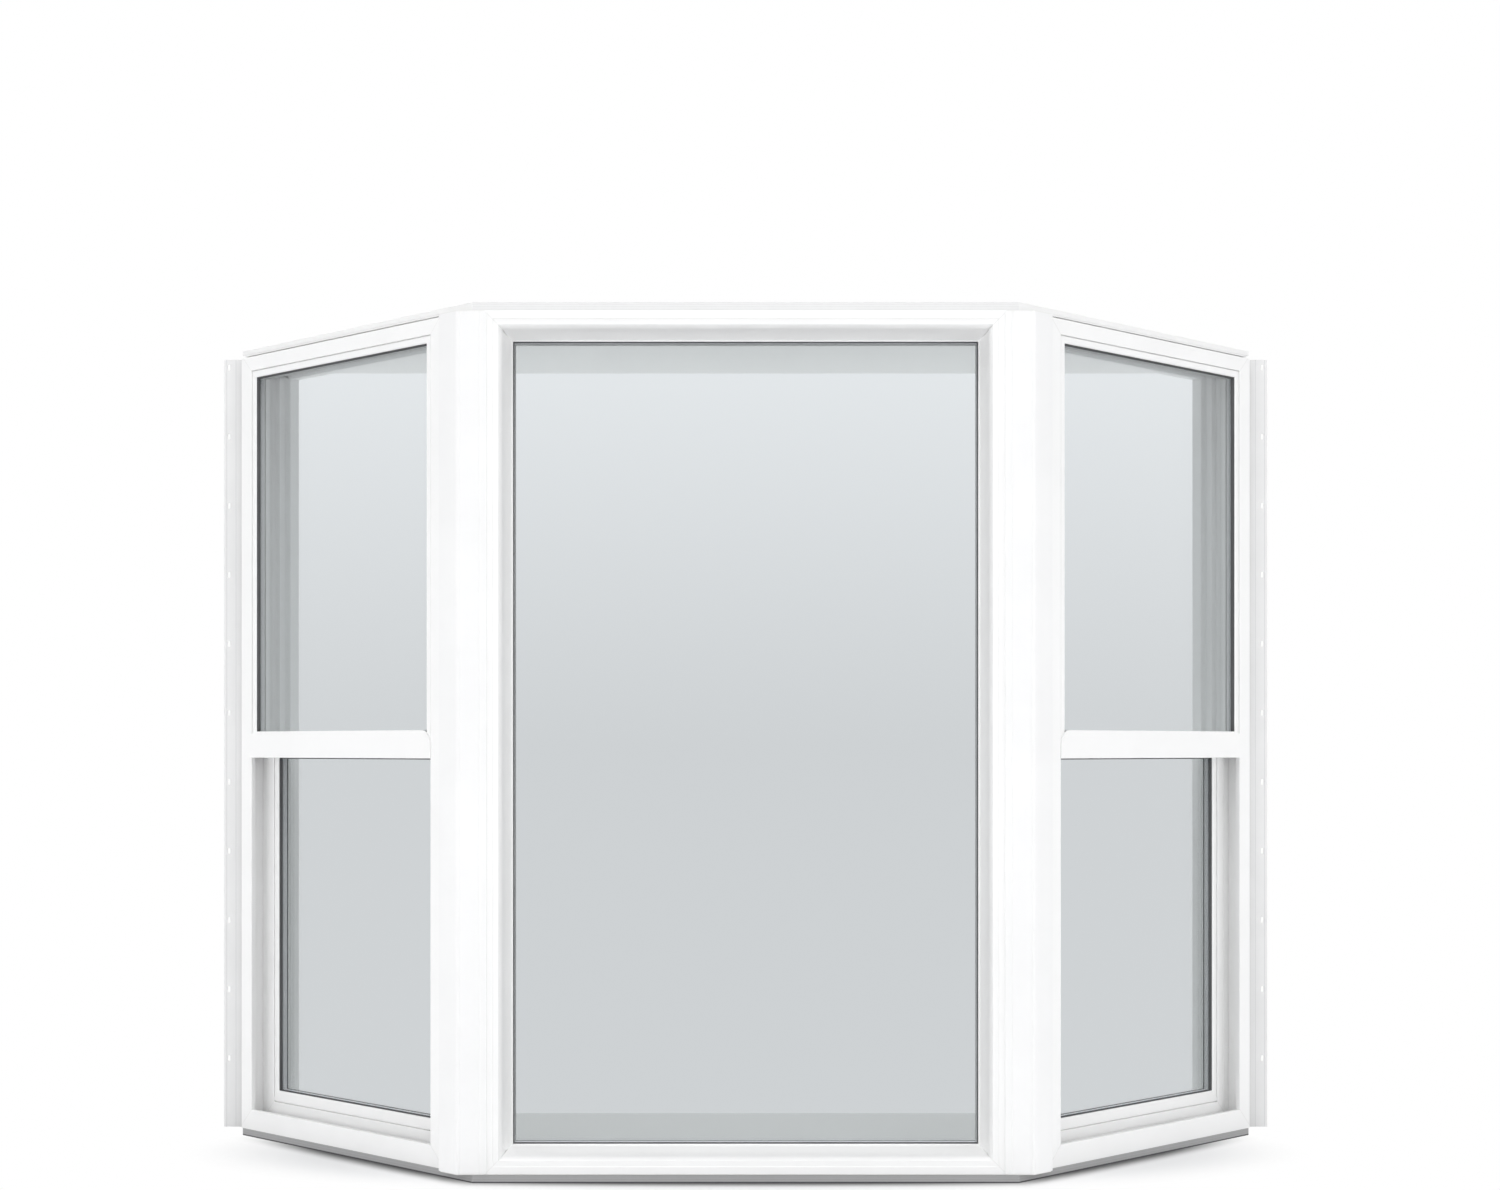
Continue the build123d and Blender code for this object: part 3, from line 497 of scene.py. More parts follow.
wire(tree, [
    (scored.outputs[0], groove.inputs[0]),
    (fin_skin.outputs["Height"], groove.inputs[2]),
    (scored.outputs[0], soften.inputs[0]),
    (soften.outputs[0], darker.inputs["Factor"]),
    (off_middle.outputs[0], rooted.inputs["Value"]),
    (fin_skin.outputs["Colour"], fin_tone.inputs["A"]),
    (rooted.outputs["Result"], fin_tone.inputs["B"]),
    (fin_tone.outputs["Result"], darker.inputs["A"]),
    (darker.outputs["Result"], body.inputs["Base Color"]),
    (fin_skin.outputs["Roughness"], body.inputs["Roughness"]),
    (groove.outputs[0], bump.inputs["Height"]),
    (bump.outputs["Normal"], body.inputs["Normal"]),
    (body.outputs[0], fin_out.inputs["Surface"]),
])
print("fin edge at", round(fin_edge, 4))

# %% [markdown]
# ## Clear glass
#
# Each light of the window is two panes with an aluminium spacer between them. A pane could be one
# sheet without thickness, but then its edge and the double image of two panes are lost. It is a
# thin solid sheet, so plain glass with its real thickness is right. A lamp's light isn't traced
# back through a solid sheet and would leave a black shadow, so rays to the lamps pass straight
# through, tinted as one face tints them.

# %% Glass
GLASS_TINT = (0.962, 0.982, 0.985)

glass, tree, glass_out = new_material("window_glass")
pane = add_node(tree, "ShaderNodeBsdfPrincipled", values={
    "Roughness": 0.0, "IOR": 1.5, "Transmission Weight": 1.0, "Base Color": (*GLASS_TINT, 1)})
ray = add_node(tree, "ShaderNodeLightPath")
face_tint = [sqrt(share) for share in GLASS_TINT]
through = add_node(tree, "ShaderNodeBsdfTransparent", values={"Color": (*face_tint, 1)})
either = add_node(tree, "ShaderNodeMixShader")
wire(tree, [
    (ray.outputs["Is Shadow Ray"], either.inputs["Fac"]),
    (pane.outputs[0], either.inputs[1]),
    (through.outputs[0], either.inputs[2]),
    (either.outputs[0], glass_out.inputs["Surface"]),
])
print("glass tint:", GLASS_TINT)

# %% [markdown]
# ## Spacer, gaskets, boards and hardware
#
# These finishes share one recipe: a tone that wanders a little, a roughness that wanders with it,
# and a fine relief. Each could have nodes of its own, but the parts are small and the recipe is
# the same. The group takes a stretched position, so that it gives brushed aluminium, rubber,
# sealant or enamel.

# %% Wandering finish group
wander = bpy.data.node_groups.new("wandering_finish", "ShaderNodeTree")
group_socket(wander, "Vector", "INPUT", "NodeSocketVector")
group_socket(wander, "Scale", "INPUT", "NodeSocketFloat", 200.0)
group_socket(wander, "Colour", "INPUT", "NodeSocketColor", (0.5, 0.5, 0.5, 1))
group_socket(wander, "Shade", "INPUT", "NodeSocketColor", (0.4, 0.4, 0.4, 1))
group_socket(wander, "Smooth", "INPUT", "NodeSocketFloat", 0.3)
group_socket(wander, "Rough", "INPUT", "NodeSocketFloat", 0.5)
group_socket(wander, "Colour", "OUTPUT", "NodeSocketColor")
group_socket(wander, "Roughness", "OUTPUT", "NodeSocketFloat")
group_socket(wander, "Height", "OUTPUT", "NodeSocketFloat")
wander_in = add_node(wander, "NodeGroupInput")
wander_out = add_node(wander, "NodeGroupOutput")
grain = add_node(wander, "ShaderNodeTexNoise", values={"Detail": 5.0, "Roughness": 0.6})
patches = add_node(wander, "ShaderNodeTexNoise", values={"Scale": 14.0, "Detail": 3.0})
patch_range = add_node(wander, "ShaderNodeMapRange", values={"From Min": 0.35, "From Max": 0.7})
tone_mix = add_node(wander, "ShaderNodeMath", operation="MULTIPLY")
colour_mix = add_node(wander, "ShaderNodeMix", data_type="RGBA")
rough_mix = add_node(wander, "ShaderNodeMix", data_type="FLOAT")
wire(wander, [
    (wander_in.outputs["Vector"], grain.inputs["Vector"]),
    (wander_in.outputs["Scale"], grain.inputs["Scale"]),
    (wander_in.outputs["Vector"], patches.inputs["Vector"]),
    (patches.outputs["Fac"], patch_range.inputs["Value"]),
    (patch_range.outputs["Result"], tone_mix.inputs[0]),
    (grain.outputs["Fac"], tone_mix.inputs[1]),
    (tone_mix.outputs[0], colour_mix.inputs["Factor"]),
    (wander_in.outputs["Colour"], colour_mix.inputs["A"]),
    (wander_in.outputs["Shade"], colour_mix.inputs["B"]),
    (grain.outputs["Fac"], rough_mix.inputs["Factor"]),
    (wander_in.outputs["Smooth"], rough_mix.inputs["A"]),
    (wander_in.outputs["Rough"], rough_mix.inputs["B"]),
    (colour_mix.outputs["Result"], wander_out.inputs["Colour"]),
    (rough_mix.outputs["Result"], wander_out.inputs["Roughness"]),
    (grain.outputs["Fac"], wander_out.inputs["Height"]),
])
print("wander sockets:", len(wander.interface.items_tree))

# %% [markdown]
# One function turns the recipe into a material. Values that are the same all over a surface, such
# as Metallic or the coat, are set on the shader itself and don't go through the group.

# %% Finishes made from it
def wandering(name, colour, shade, smooth, rough, scale=200.0, stretch=(1, 1, 1), relief=0.05, **plain):
    """Material from the wandering finish, with plain shader values such as Metallic by name."""
    material, tree, out = new_material(name)
    place = add_node(tree, "ShaderNodeTexCoord")
    squeeze = add_node(tree, "ShaderNodeMapping", values={"Scale": stretch})
    surface = add_node(tree, "ShaderNodeGroup", node_tree=wander, values={
        "Colour": (*colour, 1), "Shade": (*shade, 1), "Smooth": smooth, "Rough": rough, "Scale": scale})
    bump = add_node(tree, "ShaderNodeBump", values={"Strength": 0.6, "Distance": relief * MM})
    plain_values = {key.replace("_", " "): value for key, value in plain.items()}
    body = add_node(tree, "ShaderNodeBsdfPrincipled", values=plain_values)
    wire(tree, [
        (place.outputs["Object"], squeeze.inputs["Vector"]),
        (squeeze.outputs["Vector"], surface.inputs["Vector"]),
        (surface.outputs["Colour"], body.inputs["Base Color"]),
        (surface.outputs["Roughness"], body.inputs["Roughness"]),
        (surface.outputs["Height"], bump.inputs["Height"]),
        (bump.outputs["Normal"], body.inputs["Normal"]),
        (body.outputs[0], out.inputs["Surface"]),
    ])
    return material


spacer = wandering("spacer_aluminium", (0.90, 0.91, 0.92), (0.82, 0.83, 0.85), 0.36, 0.5,
                   scale=500.0, stretch=(1, 1, 0.05), relief=0.02, Metallic=0.15)
rubber = wandering("gasket_rubber", (0.105, 0.107, 0.110), (0.145, 0.147, 0.150), 0.8, 0.95,
                   scale=900.0, Specular_IOR_Level=0.12)
sealant = wandering("white_sealant", (0.84, 0.84, 0.83), (0.76, 0.76, 0.75), 0.35, 0.55,
                    scale=120.0, relief=0.2)
pile = wandering("grey_pile", (0.30, 0.30, 0.31), (0.16, 0.16, 0.17), 0.8, 0.95,
                 scale=2600.0, relief=0.6)
enamel = wandering("lock_enamel", (0.90, 0.90, 0.89), (0.84, 0.84, 0.83), 0.22, 0.34,
                   scale=600.0, Coat_Weight=0.3, Coat_Roughness=0.12)
zinc = wandering("zinc_screw", (0.66, 0.66, 0.64), (0.48, 0.48, 0.46), 0.28, 0.5,
                 scale=1500.0, Metallic=1.0)
seam_vinyl = wandering("weld_vinyl", (0.86, 0.86, 0.855), (0.80, 0.80, 0.79), 0.4, 0.6,
                       scale=800.0, relief=0.1)
liner_paint = wandering("liner_paint", (0.89, 0.89, 0.885), (0.85, 0.85, 0.845), 0.42, 0.6,
                        scale=420.0, relief=0.12)
small_finishes = (spacer, rubber, sealant, pile, enamel, zinc, seam_vinyl, liner_paint)
print("small finishes:", [finish.name for finish in small_finishes])

# %% [markdown]
# ## Painted boards
#
# Seat board and head board are plywood, rolled with paint on the faces that the room sees. The top of the
# head board is a darker grey: painted shade that keeps it from burning out under the lamp above it. The edges
# are primed, and the plies show through as fine level stripes. On the seat the edges are greyer, which is
# painted shade under the overhang of the frames, and a thin strip along their foot is painted dark as the
# contact shadow where the board stands on the floor. The head board's slanting edges are lifted towards the
# white of the faces: painted light, which makes them lighter than its front edge. Each side could be given a
# material of its own, but the solid pieces' meshes stay as they came, so one material tells faces and edges
# apart by the surface's own direction.

# %% Which way a surface faces
STEEP = 0.5  # part of a direction along one axis, beyond which a surface counts as facing that way


def facings(tree):
    """Masks for faces that lie level, that look upwards, and that look to the left or right."""
    direction = add_node(tree, "ShaderNodeNewGeometry")
    parts = add_node(tree, "ShaderNodeSeparateXYZ")
    wire(tree, [(direction.outputs["Normal"], parts.inputs[0])])
    masks = []
    for axis, either_way in (("Z", True), ("Z", False), ("X", True)):
        mask = add_node(tree, "ShaderNodeMath", operation="GREATER_THAN", values={1: STEEP})
        part = parts.outputs[axis]
        if either_way:
            size = add_node(tree, "ShaderNodeMath", operation="ABSOLUTE")
            wire(tree, [(part, size.inputs[0])])
            part = size.outputs[0]
        wire(tree, [(part, mask.inputs[0])])
        masks.append(mask.outputs[0])
    return masks


print("facings: level, upwards, sideways")

# %% [markdown]
# The plies lie flat, so their stripes follow the height alone: a ping-pong between two plies gives
# every second one another tone, and noise breaks the stripes up where the primer has soaked in.

# %% Plies on an edge
PLY_THICKNESS = 1.6 * MM
PLY_STRENGTH = 0.55
PLY_SHARPNESS = (0.35, 0.65)  # shares of a ply between which one stripe turns into the next
# The foot of the seat board's edge is painted this dark as the contact shadow where the board meets the
# floor.
FOOT_CONTACT_SHADOW = (0.10, 0.10, 0.105, 1)


def ply_edge(tree, place, edge, edge_dark, foot):
    """Colour of a primed plywood edge, with a painted contact shadow below the height of the foot."""
    parts = add_node(tree, "ShaderNodeSeparateXYZ")
    plies = add_node(tree, "ShaderNodeMath", operation="PINGPONG", values={1: PLY_THICKNESS})
    ply_from, ply_to = (share * PLY_THICKNESS for share in PLY_SHARPNESS)
    ply_mask = add_node(tree, "ShaderNodeMapRange", values={
        "From Min": ply_from, "From Max": ply_to, "To Max": PLY_STRENGTH})
    fibres = add_node(tree, "ShaderNodeTexNoise", values={"Scale": 160.0, "Detail": 4.0})
    worn = add_node(tree, "ShaderNodeMath", operation="MULTIPLY")
    edge_tone = add_node(tree, "ShaderNodeMix", data_type="RGBA")
    edge_tone.inputs["A"].default_value = (*edge, 1)
    edge_tone.inputs["B"].default_value = (*edge_dark, 1)
    # Below the foot height the edge takes the painted contact shadow.
    low = add_node(tree, "ShaderNodeMath", operation="LESS_THAN", values={1: foot})
    foot_shadowed = add_node(tree, "ShaderNodeMix", data_type="RGBA")
    foot_shadowed.inputs["B"].default_value = FOOT_CONTACT_SHADOW
    wire(tree, [
        (place, parts.inputs[0]),
        (parts.outputs["Z"], plies.inputs[0]),
        (plies.outputs[0], ply_mask.inputs["Value"]),
        (place, fibres.inputs["Vector"]),
        (ply_mask.outputs["Result"], worn.inputs[0]),
        (fibres.outputs["Fac"], worn.inputs[1]),
        (worn.outputs[0], edge_tone.inputs["Factor"]),
        (parts.outputs["Z"], low.inputs[0]),
        (low.outputs[0], foot_shadowed.inputs["Factor"]),
        (edge_tone.outputs["Result"], foot_shadowed.inputs["A"]),
    ])
    return foot_shadowed.outputs["Result"]


print("plies of", round(PLY_THICKNESS * 1000, 2), "mm")

# %% [markdown]
# The board's own material then picks paint or plies by the facing, and the wandering finish gives
# the rolled paint its uneven sheen.

# %% Board materials
# Height of the painted contact shadow along the foot of the seat board.
FOOT_HEIGHT = 1.8 * MM
THIN_PAINT = (0.96, 0.96, 0.96, 1)


def painted_board(name, face, upper, edge, edge_dark, foot=0.0, side_light=0.0):
    """Paint on the level faces and plies on the edges, those to the sides lifted towards the paint's colour
    by a share, as painted light.
    """
    material, tree, out = new_material(name)
    place = add_node(tree, "ShaderNodeTexCoord").outputs["Object"]
    is_level, is_upward, is_sideways = facings(tree)
    # Edges that face sideways are lifted towards the face colour by this share: painted light.
    side_lit = add_node(tree, "ShaderNodeMath", operation="MULTIPLY", values={1: side_light})
    edges = add_node(tree, "ShaderNodeMix", data_type="RGBA")
    edges.inputs["B"].default_value = (*face, 1)
    coat = add_node(tree, "ShaderNodeMix", data_type="RGBA")
    coat.inputs["A"].default_value = (*face, 1)
    coat.inputs["B"].default_value = (*upper, 1)
    thin = add_node(tree, "ShaderNodeMix", data_type="RGBA", blend_type="MULTIPLY")
    thin.inputs["Factor"].default_value = 1.0
    thin.inputs["B"].default_value = THIN_PAINT
    surface = add_node(tree, "ShaderNodeGroup", node_tree=wander, values={
        "Smooth": 0.42, "Rough": 0.6, "Scale": 420.0})
    tone = add_node(tree, "ShaderNodeMix", data_type="RGBA")
    bump = add_node(tree, "ShaderNodeBump", values={"Strength": 0.5, "Distance": 0.12 * MM})
    body = add_node(tree, "ShaderNodeBsdfPrincipled")
    wire(tree, [
        (is_sideways, side_lit.inputs[0]),
        (side_lit.outputs[0], edges.inputs["Factor"]),
        (ply_edge(tree, place, edge, edge_dark, foot), edges.inputs["A"]),
        (is_upward, coat.inputs["Factor"]),
        (coat.outputs["Result"], thin.inputs["A"]),
        (coat.outputs["Result"], surface.inputs["Colour"]),
        (thin.outputs["Result"], surface.inputs["Shade"]),
        (place, surface.inputs["Vector"]),
        (is_level, tone.inputs["Factor"]),
        (edges.outputs["Result"], tone.inputs["A"]),
        (surface.outputs["Colour"], tone.inputs["B"]),
        (tone.outputs["Result"], body.inputs["Base Color"]),
        (surface.outputs["Roughness"], body.inputs["Roughness"]),
        (surface.outputs["Height"], bump.inputs["Height"]),
        (bump.outputs["Normal"], body.inputs["Normal"]),
        (body.outputs[0], out.inputs["Surface"]),
    ])
    return material


# The seat board's edges are greyer than the head board's as painted shade under the frames' overhang, and its
# faces are a darker grey as well.
seat_paint = painted_board(
    "seat_board_paint", face=(0.62, 0.62, 0.615), upper=(0.68, 0.68, 0.675), edge=(0.46, 0.46, 0.465),
    edge_dark=(0.33, 0.33, 0.335), foot=FOOT_HEIGHT)
# The head board's top is darker as painted shade under the top lamp, and its slanting edges are lifted
# towards the white as painted light.
head_paint = painted_board(
    "head_board_paint", face=(0.90, 0.90, 0.895), upper=(0.72, 0.72, 0.71), edge=(0.80, 0.80, 0.80),
    edge_dark=(0.68, 0.68, 0.68), side_light=0.85)
print("board finishes:", seat_paint.name, head_paint.name)

# %% [markdown]
# ## Finishes on to the solid pieces
#
# Every solid piece has a name that says what it is, such as right_window_sill. The finishes could
# be listed piece by piece, but the end of a name is enough to choose one, and a new piece of a
# known kind is then dressed as well.

# %% Finishes on to the solid pieces
def finish_for(name):
    """Finish of a solid piece, from what its name says it is."""
    if name.endswith("pane"):
        return glass
    if name.endswith("spacer"):
        return spacer
    if name == "seat_board":
        return seat_paint
    if name == "head_board":
        return head_paint
    if name.endswith("wall_jamb"):
        return liner_paint
    if name.endswith("post"):
        return vinyl_post
    if name.endswith(("lock", "latches")):
        return enamel
    if name.endswith("fin"):
        return vinyl_fin
    if name.endswith("cover"):
        return vinyl_cover
    if name.endswith(("jamb", "trim")):
        return vinyl_upright
    if name.startswith("centre"):
        return vinyl_level
    return vinyl_left if name.startswith("left") else vinyl_right


for name, node in nodes.items():
    node.data.materials.clear()
    node.data.materials.append(finish_for(name))
print("finishes in use:", len({finish_for(name).name for name in nodes}))

# %% [markdown]
# ## The planes of the three windows
#
# Every small part lies on a window. It could be turned by 45 degrees as an object, but a finished
# piece stays unturned, with its place in its mesh. So it is made flat, on that window's own plane,
# and carried into place with one matrix. On such a plane x runs along the window, y runs up and z
# comes out of its face. The planes are found from the solid pieces, so that they fit exactly.

# %% Window planes
def window_plane(corner, along):
    """Matrix of a window's face from its lower inner corner and the direction that it runs in."""
    up = Vector((0, 0, 1))
    out = along.cross(up)
    columns = Matrix((along, up, out)).transposed().to_4x4()
    return Matrix.Translation(corner) @ columns


centre_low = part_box("centre_sill")[0]
centre_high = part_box("centre_head")[1]
frame_depth = centre_high[1] - face_y
frame_height = centre_high[2] - foot_z
centre_plane = window_plane(Vector((centre_low[0], face_y, foot_z)), Vector((1, 0, 0)))

sill_low, sill_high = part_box("right_window_sill")
wing_corner = Vector((sill_low[0] + frame_depth * SLANT, sill_low[1], foot_z))
wing_plane = window_plane(wing_corner, Vector((SLANT, SLANT, 0)))
wing_width = (sill_high[0] - wing_corner.x) / SLANT


def extent(node, plane):
    """Lowest and highest corner of a solid piece, measured on a window's own plane."""
    flat = plane.inverted()
    spots = [flat @ vertex.co for vertex in nodes[node].data.vertices]
    low = [min(spot[axis] for spot in spots) for axis in range(3)]
    high = [max(spot[axis] for spot in spots) for axis in range(3)]
    return low, high


print("wing width:", round(wing_width, 4))

# %% [markdown]
# A flat-made shape then becomes a piece of the window. The left window is the mirror image of the
# right one, so each of its parts is a mirrored copy. A Mirror modifier would keep both sides in
# one piece, and here each side is a piece with its own name. Mirroring turns a shape inside out,
# so its faces are turned outwards again.

# %% Finished pieces
def settle(shape, name, finish, plane=None):
    """Carry a flat-made shape on to its plane and turn it into a piece of the window.
    """
    if plane is not None:
        bmesh.ops.transform(shape, matrix=plane, verts=shape.verts[:])
    bmesh.ops.recalc_face_normals(shape, faces=shape.faces[:])
    data = bpy.data.meshes.new(name)
    shape.to_mesh(data)
    shape.free()
    data.materials.append(finish)
    piece = bpy.data.objects.new(name, data)
    scene.collection.objects.link(piece)
    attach(piece, "root")


def settle_pair(shape, stem, finish, plane):
    """The right-hand piece, and its mirror image for the left-hand side."""
    twin = shape.copy()
    settle(shape, f"right_{stem}", finish, plane)
    bmesh.ops.transform(twin, matrix=plane, verts=twin.verts[:])
    bmesh.ops.scale(twin, vec=(-1, 1, 1), verts=twin.verts[:])
    settle(twin, f"left_{stem}", finish)


print("helpers: settle, settle_pair")

# %% [markdown]
# Gaskets, packers, pile and sealant have one section all along, so each starts as a flat outline
# that is drawn out. A scaled cube would be shorter to write, but an outline can be inset, pushed
# hollow or narrowed on the way. These helpers make the flat rectangle and draw faces out.

# %% Drawn shapes
def rectangle(shape, middle, width, height, rows=1):
    """Flat rectangle round a middle point, facing along z; gives its points."""
    points = bmesh.ops.create_grid(shape, x_segments=1, y_segments=rows, size=0.5)["verts"]
    bmesh.ops.scale(shape, vec=(width, height, 1), verts=points)
    bmesh.ops.translate(shape, vec=middle, verts=points)
    return points


def faces_at(points):
    """Every face that touches one of the points, once."""
    return list(dict.fromkeys(face for point in points for face in point.link_faces))


def draw_out(shape, faces, move):
    """Extrude faces and move the new ones; gives the new points."""
    drawn = bmesh.ops.extrude_face_region(shape, geom=faces)
    points = [item for item in drawn["geom"] if isinstance(item, bmesh.types.BMVert)]
    bmesh.ops.translate(shape, vec=move, verts=points)
    return points


print("helpers: rectangle, faces_at, draw_out")

# %% [markdown]
# ## Gaskets
#
# A dark rubber wedge is pushed in between the glazing bead and the glass all round. On the room
# side the glass of the sash lies on a rubber lip, and the fixed panes on a bed of white sealant.
# Seen from the street the wedge is the fine dark outline of each light. A curve with a wedge for
# its section could be bent round the corners, but its corners would be round. So a rectangle is
# inset to make a flat ring, the ring is drawn out, and its edge beside the glass is let down
# again, which gives a wedge with sharp mitres.

# %% Gasket ring
SAME_SPOT = 0.1 * MM


def rubber_ring(shape, low, high, foot, width, rise, lip):
    """Ring inside a rectangle: rise high along its outer edge, and lip high along its inner edge."""
    middle = ((low[0] + high[0]) / 2, (low[1] + high[1]) / 2, foot)
    corners = rectangle(shape, middle, high[0] - low[0], high[1] - low[1])
    inside = faces_at(corners)
    bmesh.ops.inset_region(shape, faces=inside, thickness=width, use_boundary=True, use_even_offset=True)
    around = [face for face in faces_at(corners) if face not in inside]
    beside_glass = [vert.co.copy() for face in inside for vert in face.verts]
    bmesh.ops.delete(shape, geom=inside, context="FACES_ONLY")
    for vert in draw_out(shape, around, (0, 0, rise)):
        if min((vert.co.xy - spot.xy).length for spot in beside_glass) < SAME_SPOT:
            vert.co.z = foot + lip


print("ring of four sides, mitred at its corners")

# %% [markdown]
# A ring is placed from its pane: the bead covers the same strip of every pane, and the wedge
# begins where the bead ends. The three kinds of light take wedges of their own width and rise,
# because the gap between bead and glass isn't the same in each.

# %% Gaskets of the three lights
WEDGE_LIP = 0.4 * MM
ROOM_WIDTH = 1.8 * MM
ROOM_RISE = 1.4 * MM
BITE = 11.0 * MM
lights = {  # pane, plane, width and rise of the wedge, and what the pane lies on
    "centre": ("centre", centre_plane, 1.7 * MM, 2.9 * MM, sealant),
    "upper": ("right_upper", wing_plane, 2.0 * MM, 4.6 * MM, sealant),
    "sash": ("right_sash", wing_plane, 1.4 * MM, 4.2 * MM, rubber),
}
for label, (stem, plane, wedge_width, wedge_rise, bed) in lights.items():
    outer_low, outer_high = extent(f"{stem}_outer_pane", plane)
    room_face = extent(f"{stem}_inner_pane", plane)[0][2]
    low = (outer_low[0] + BITE, outer_low[1] + BITE)
    high = (outer_high[0] - BITE, outer_high[1] - BITE)
    wedge = bmesh.new()
    rubber_ring(wedge, low, high, outer_high[2], wedge_width, wedge_rise, WEDGE_LIP)
    lip = bmesh.new()
    rubber_ring(lip, low, high, room_face, ROOM_WIDTH, -ROOM_RISE, -WEDGE_LIP)
    if label == "centre":
        settle(wedge, "centre_wedge_gasket", rubber, plane)
        settle(lip, "centre_room_gasket", bed, plane)
    else:
        settle_pair(wedge, f"{label}_wedge_gasket", rubber, plane)
        settle_pair(lip, f"{label}_room_gasket", bed, plane)
    print(label, "light:", [round(far - near, 3) for near, far in zip(low, high)])

# %% [markdown]
# ## Weld seams
#
# The corners of vinyl frames are melted together, and a fine line stays along each mitre after the
# flash is trimmed. A thin bar could be laid over the face, but it would miss the steps of the
# frame. The seam has exactly the section of its frame, so it is a thin slice of the jamb's own
# mesh at the mitred end, closed where it was cut and swollen by a hair. The swelling stops at the
# unit's own box, so that no seam makes the window larger.

# %% Slices of a solid piece
SEAM_WIDTH = 0.9 * MM
SEAM_SWELL = 0.10 * MM
MERGE_DISTANCE = 0.01 * MM
LEAST_OUTWARD = 0.1  # shorter leftovers of a direction point along the mitre
box_low, box_high = solid_bounds


def flat_copy(node, plane):
    """Copy of a solid piece, merged and laid on its window's plane."""
    copy = bmesh.new()
    copy.from_mesh(nodes[node].data)
    bmesh.ops.remove_doubles(copy, verts=copy.verts[:], dist=MERGE_DISTANCE)
    bmesh.ops.transform(copy, matrix=plane.inverted(), verts=copy.verts[:])
    copy.normal_update()
    return copy


def keep_side(shape, spot, direction):
    """Cut a shape by a plane and keep what lies in that direction."""
    everything = shape.verts[:] + shape.edges[:] + shape.faces[:]
    bmesh.ops.bisect_plane(shape, geom=everything, plane_co=spot, plane_no=direction, clear_inner=True)


def close_and_swell(shape, mitre, plane):
    """Fill the cut ends and lift the skin by a hair, but not across the mitre or out of the unit."""
    bmesh.ops.edgenet_fill(shape, edges=[edge for edge in shape.edges if edge.is_boundary])
    shape.normal_update()
    for vert in shape.verts:
        outward = vert.normal - mitre * vert.normal.dot(mitre)
        if outward.length > LEAST_OUTWARD:
            vert.co += outward.normalized() * SEAM_SWELL
    back = plane.inverted()
    for vert in shape.verts:
        spot = plane @ vert.co
        spot = Vector(min(max(c, low), high) for c, low, high in zip(spot, box_low, box_high))
        vert.co = back @ spot


def add_shape(whole, part):
    """Put a finished part into a larger shape."""
    data = bpy.data.meshes.new("part")
    part.to_mesh(data)
    part.free()
    whole.from_mesh(data)
    bpy.data.meshes.remove(data)


print("seams are", round(SEAM_WIDTH * 1000, 2), "mm wide")

# %% [markdown]
# The mitre is found on the jamb itself: it is the only flat that leans both along and across the
# piece. Where several faces lean, as at a step, the largest one at each end is the mitre.

# %% Jamb seams
LEAN = 0.3  # part of a direction along an axis, beyond which a face leans that way


def jamb_seams(whole, node, plane):
    """Add the seams at both mitred ends of a jamb."""
    jamb = flat_copy(node, plane)
    ends = {}
    for face in jamb.faces:
        leans = abs(face.normal.x) > LEAN and abs(face.normal.y) > LEAN
        end = face.normal.y > 0
        if leans and (end not in ends or face.calc_area() > ends[end].calc_area()):
            ends[end] = face
    for face in ends.values():
        mitre = face.normal.copy()
        seam = jamb.copy()
        keep_side(seam, face.calc_center_median() - mitre * SEAM_WIDTH, mitre)
        close_and_swell(seam, mitre, plane)
        add_shape(whole, seam)
    jamb.free()


centre_seams = bmesh.new()
wing_seams = bmesh.new()
for side in ("left", "right"):
    jamb_seams(centre_seams, f"centre_{side}_jamb", centre_plane)
for side in ("inner", "outer"):
    jamb_seams(wing_seams, f"right_window_{side}_jamb", wing_plane)
print("seam faces:", len(centre_seams.faces), len(wing_seams.faces))
settle(centre_seams, "centre_weld_seams", seam_vinyl, centre_plane)
settle_pair(wing_seams, "window_weld_seams", seam_vinyl, wing_plane)

# %% [markdown]
# A sash is one welded ring, so its mitres aren't open ends that could be found on its mesh. Each
# runs from the outer corner to the corner of the bead. The corner is cut free first, because a
# mitre's plane would meet the far side of the ring again.

# %% Sash seams
CORNER_REACH = 0.055

sash_low, sash_high = extent("right_sash", wing_plane)
bead_low, bead_high = extent("right_sash_glazing_bead", wing_plane)
sash_seams = bmesh.new()
sash_copy = flat_copy("right_sash", wing_plane)
corner_pairs = [
    ((sash_x[0], sash_y[1]), (bead_x[0], bead_y[1]))
    for sash_y, bead_y in ((sash_low, bead_low), (sash_high, bead_high))
    for sash_x, bead_x in ((sash_low, bead_low), (sash_high, bead_high))
]
for corner, bead_corner in corner_pairs:
    outer = Vector((*corner, 0))
    run = Vector((*bead_corner, 0)) - outer
    mitre = Vector((run.y, -run.x, 0)).normalized()
    seam = sash_copy.copy()
    for axis in (Vector((1, 0, 0)), Vector((0, 1, 0))):
        inward = axis if run.dot(axis) > 0 else -axis
        keep_side(seam, outer + inward * CORNER_REACH, -inward)
    for direction in (mitre, -mitre):
        keep_side(seam, outer - direction * SEAM_WIDTH / 2, direction)
    close_and_swell(seam, mitre, wing_plane)
    add_shape(sash_seams, seam)
sash_copy.free()
print("sash seam faces:", len(sash_seams.faces))
settle_pair(sash_seams, "sash_weld_seams", seam_vinyl, wing_plane)

# %% [markdown]
# ## Sealant
#
# On the room side a fillet of white sealant closes the joint between the frames and the two
# boards. A bevel between frame and board would need one mesh for both. The fillet is drawn out
# along the joint from a profile of its own. A wet finger leaves it hollow, so the profile is a
# triangle whose long side is divided, and the middle points are pushed in along a parabola.

# %% Fillets
FILLET = 4.5 * MM
FILLET_DIP = 0.75 * MM
FILLET_CUTS = 3
FILLET_END = 5.0 * MM


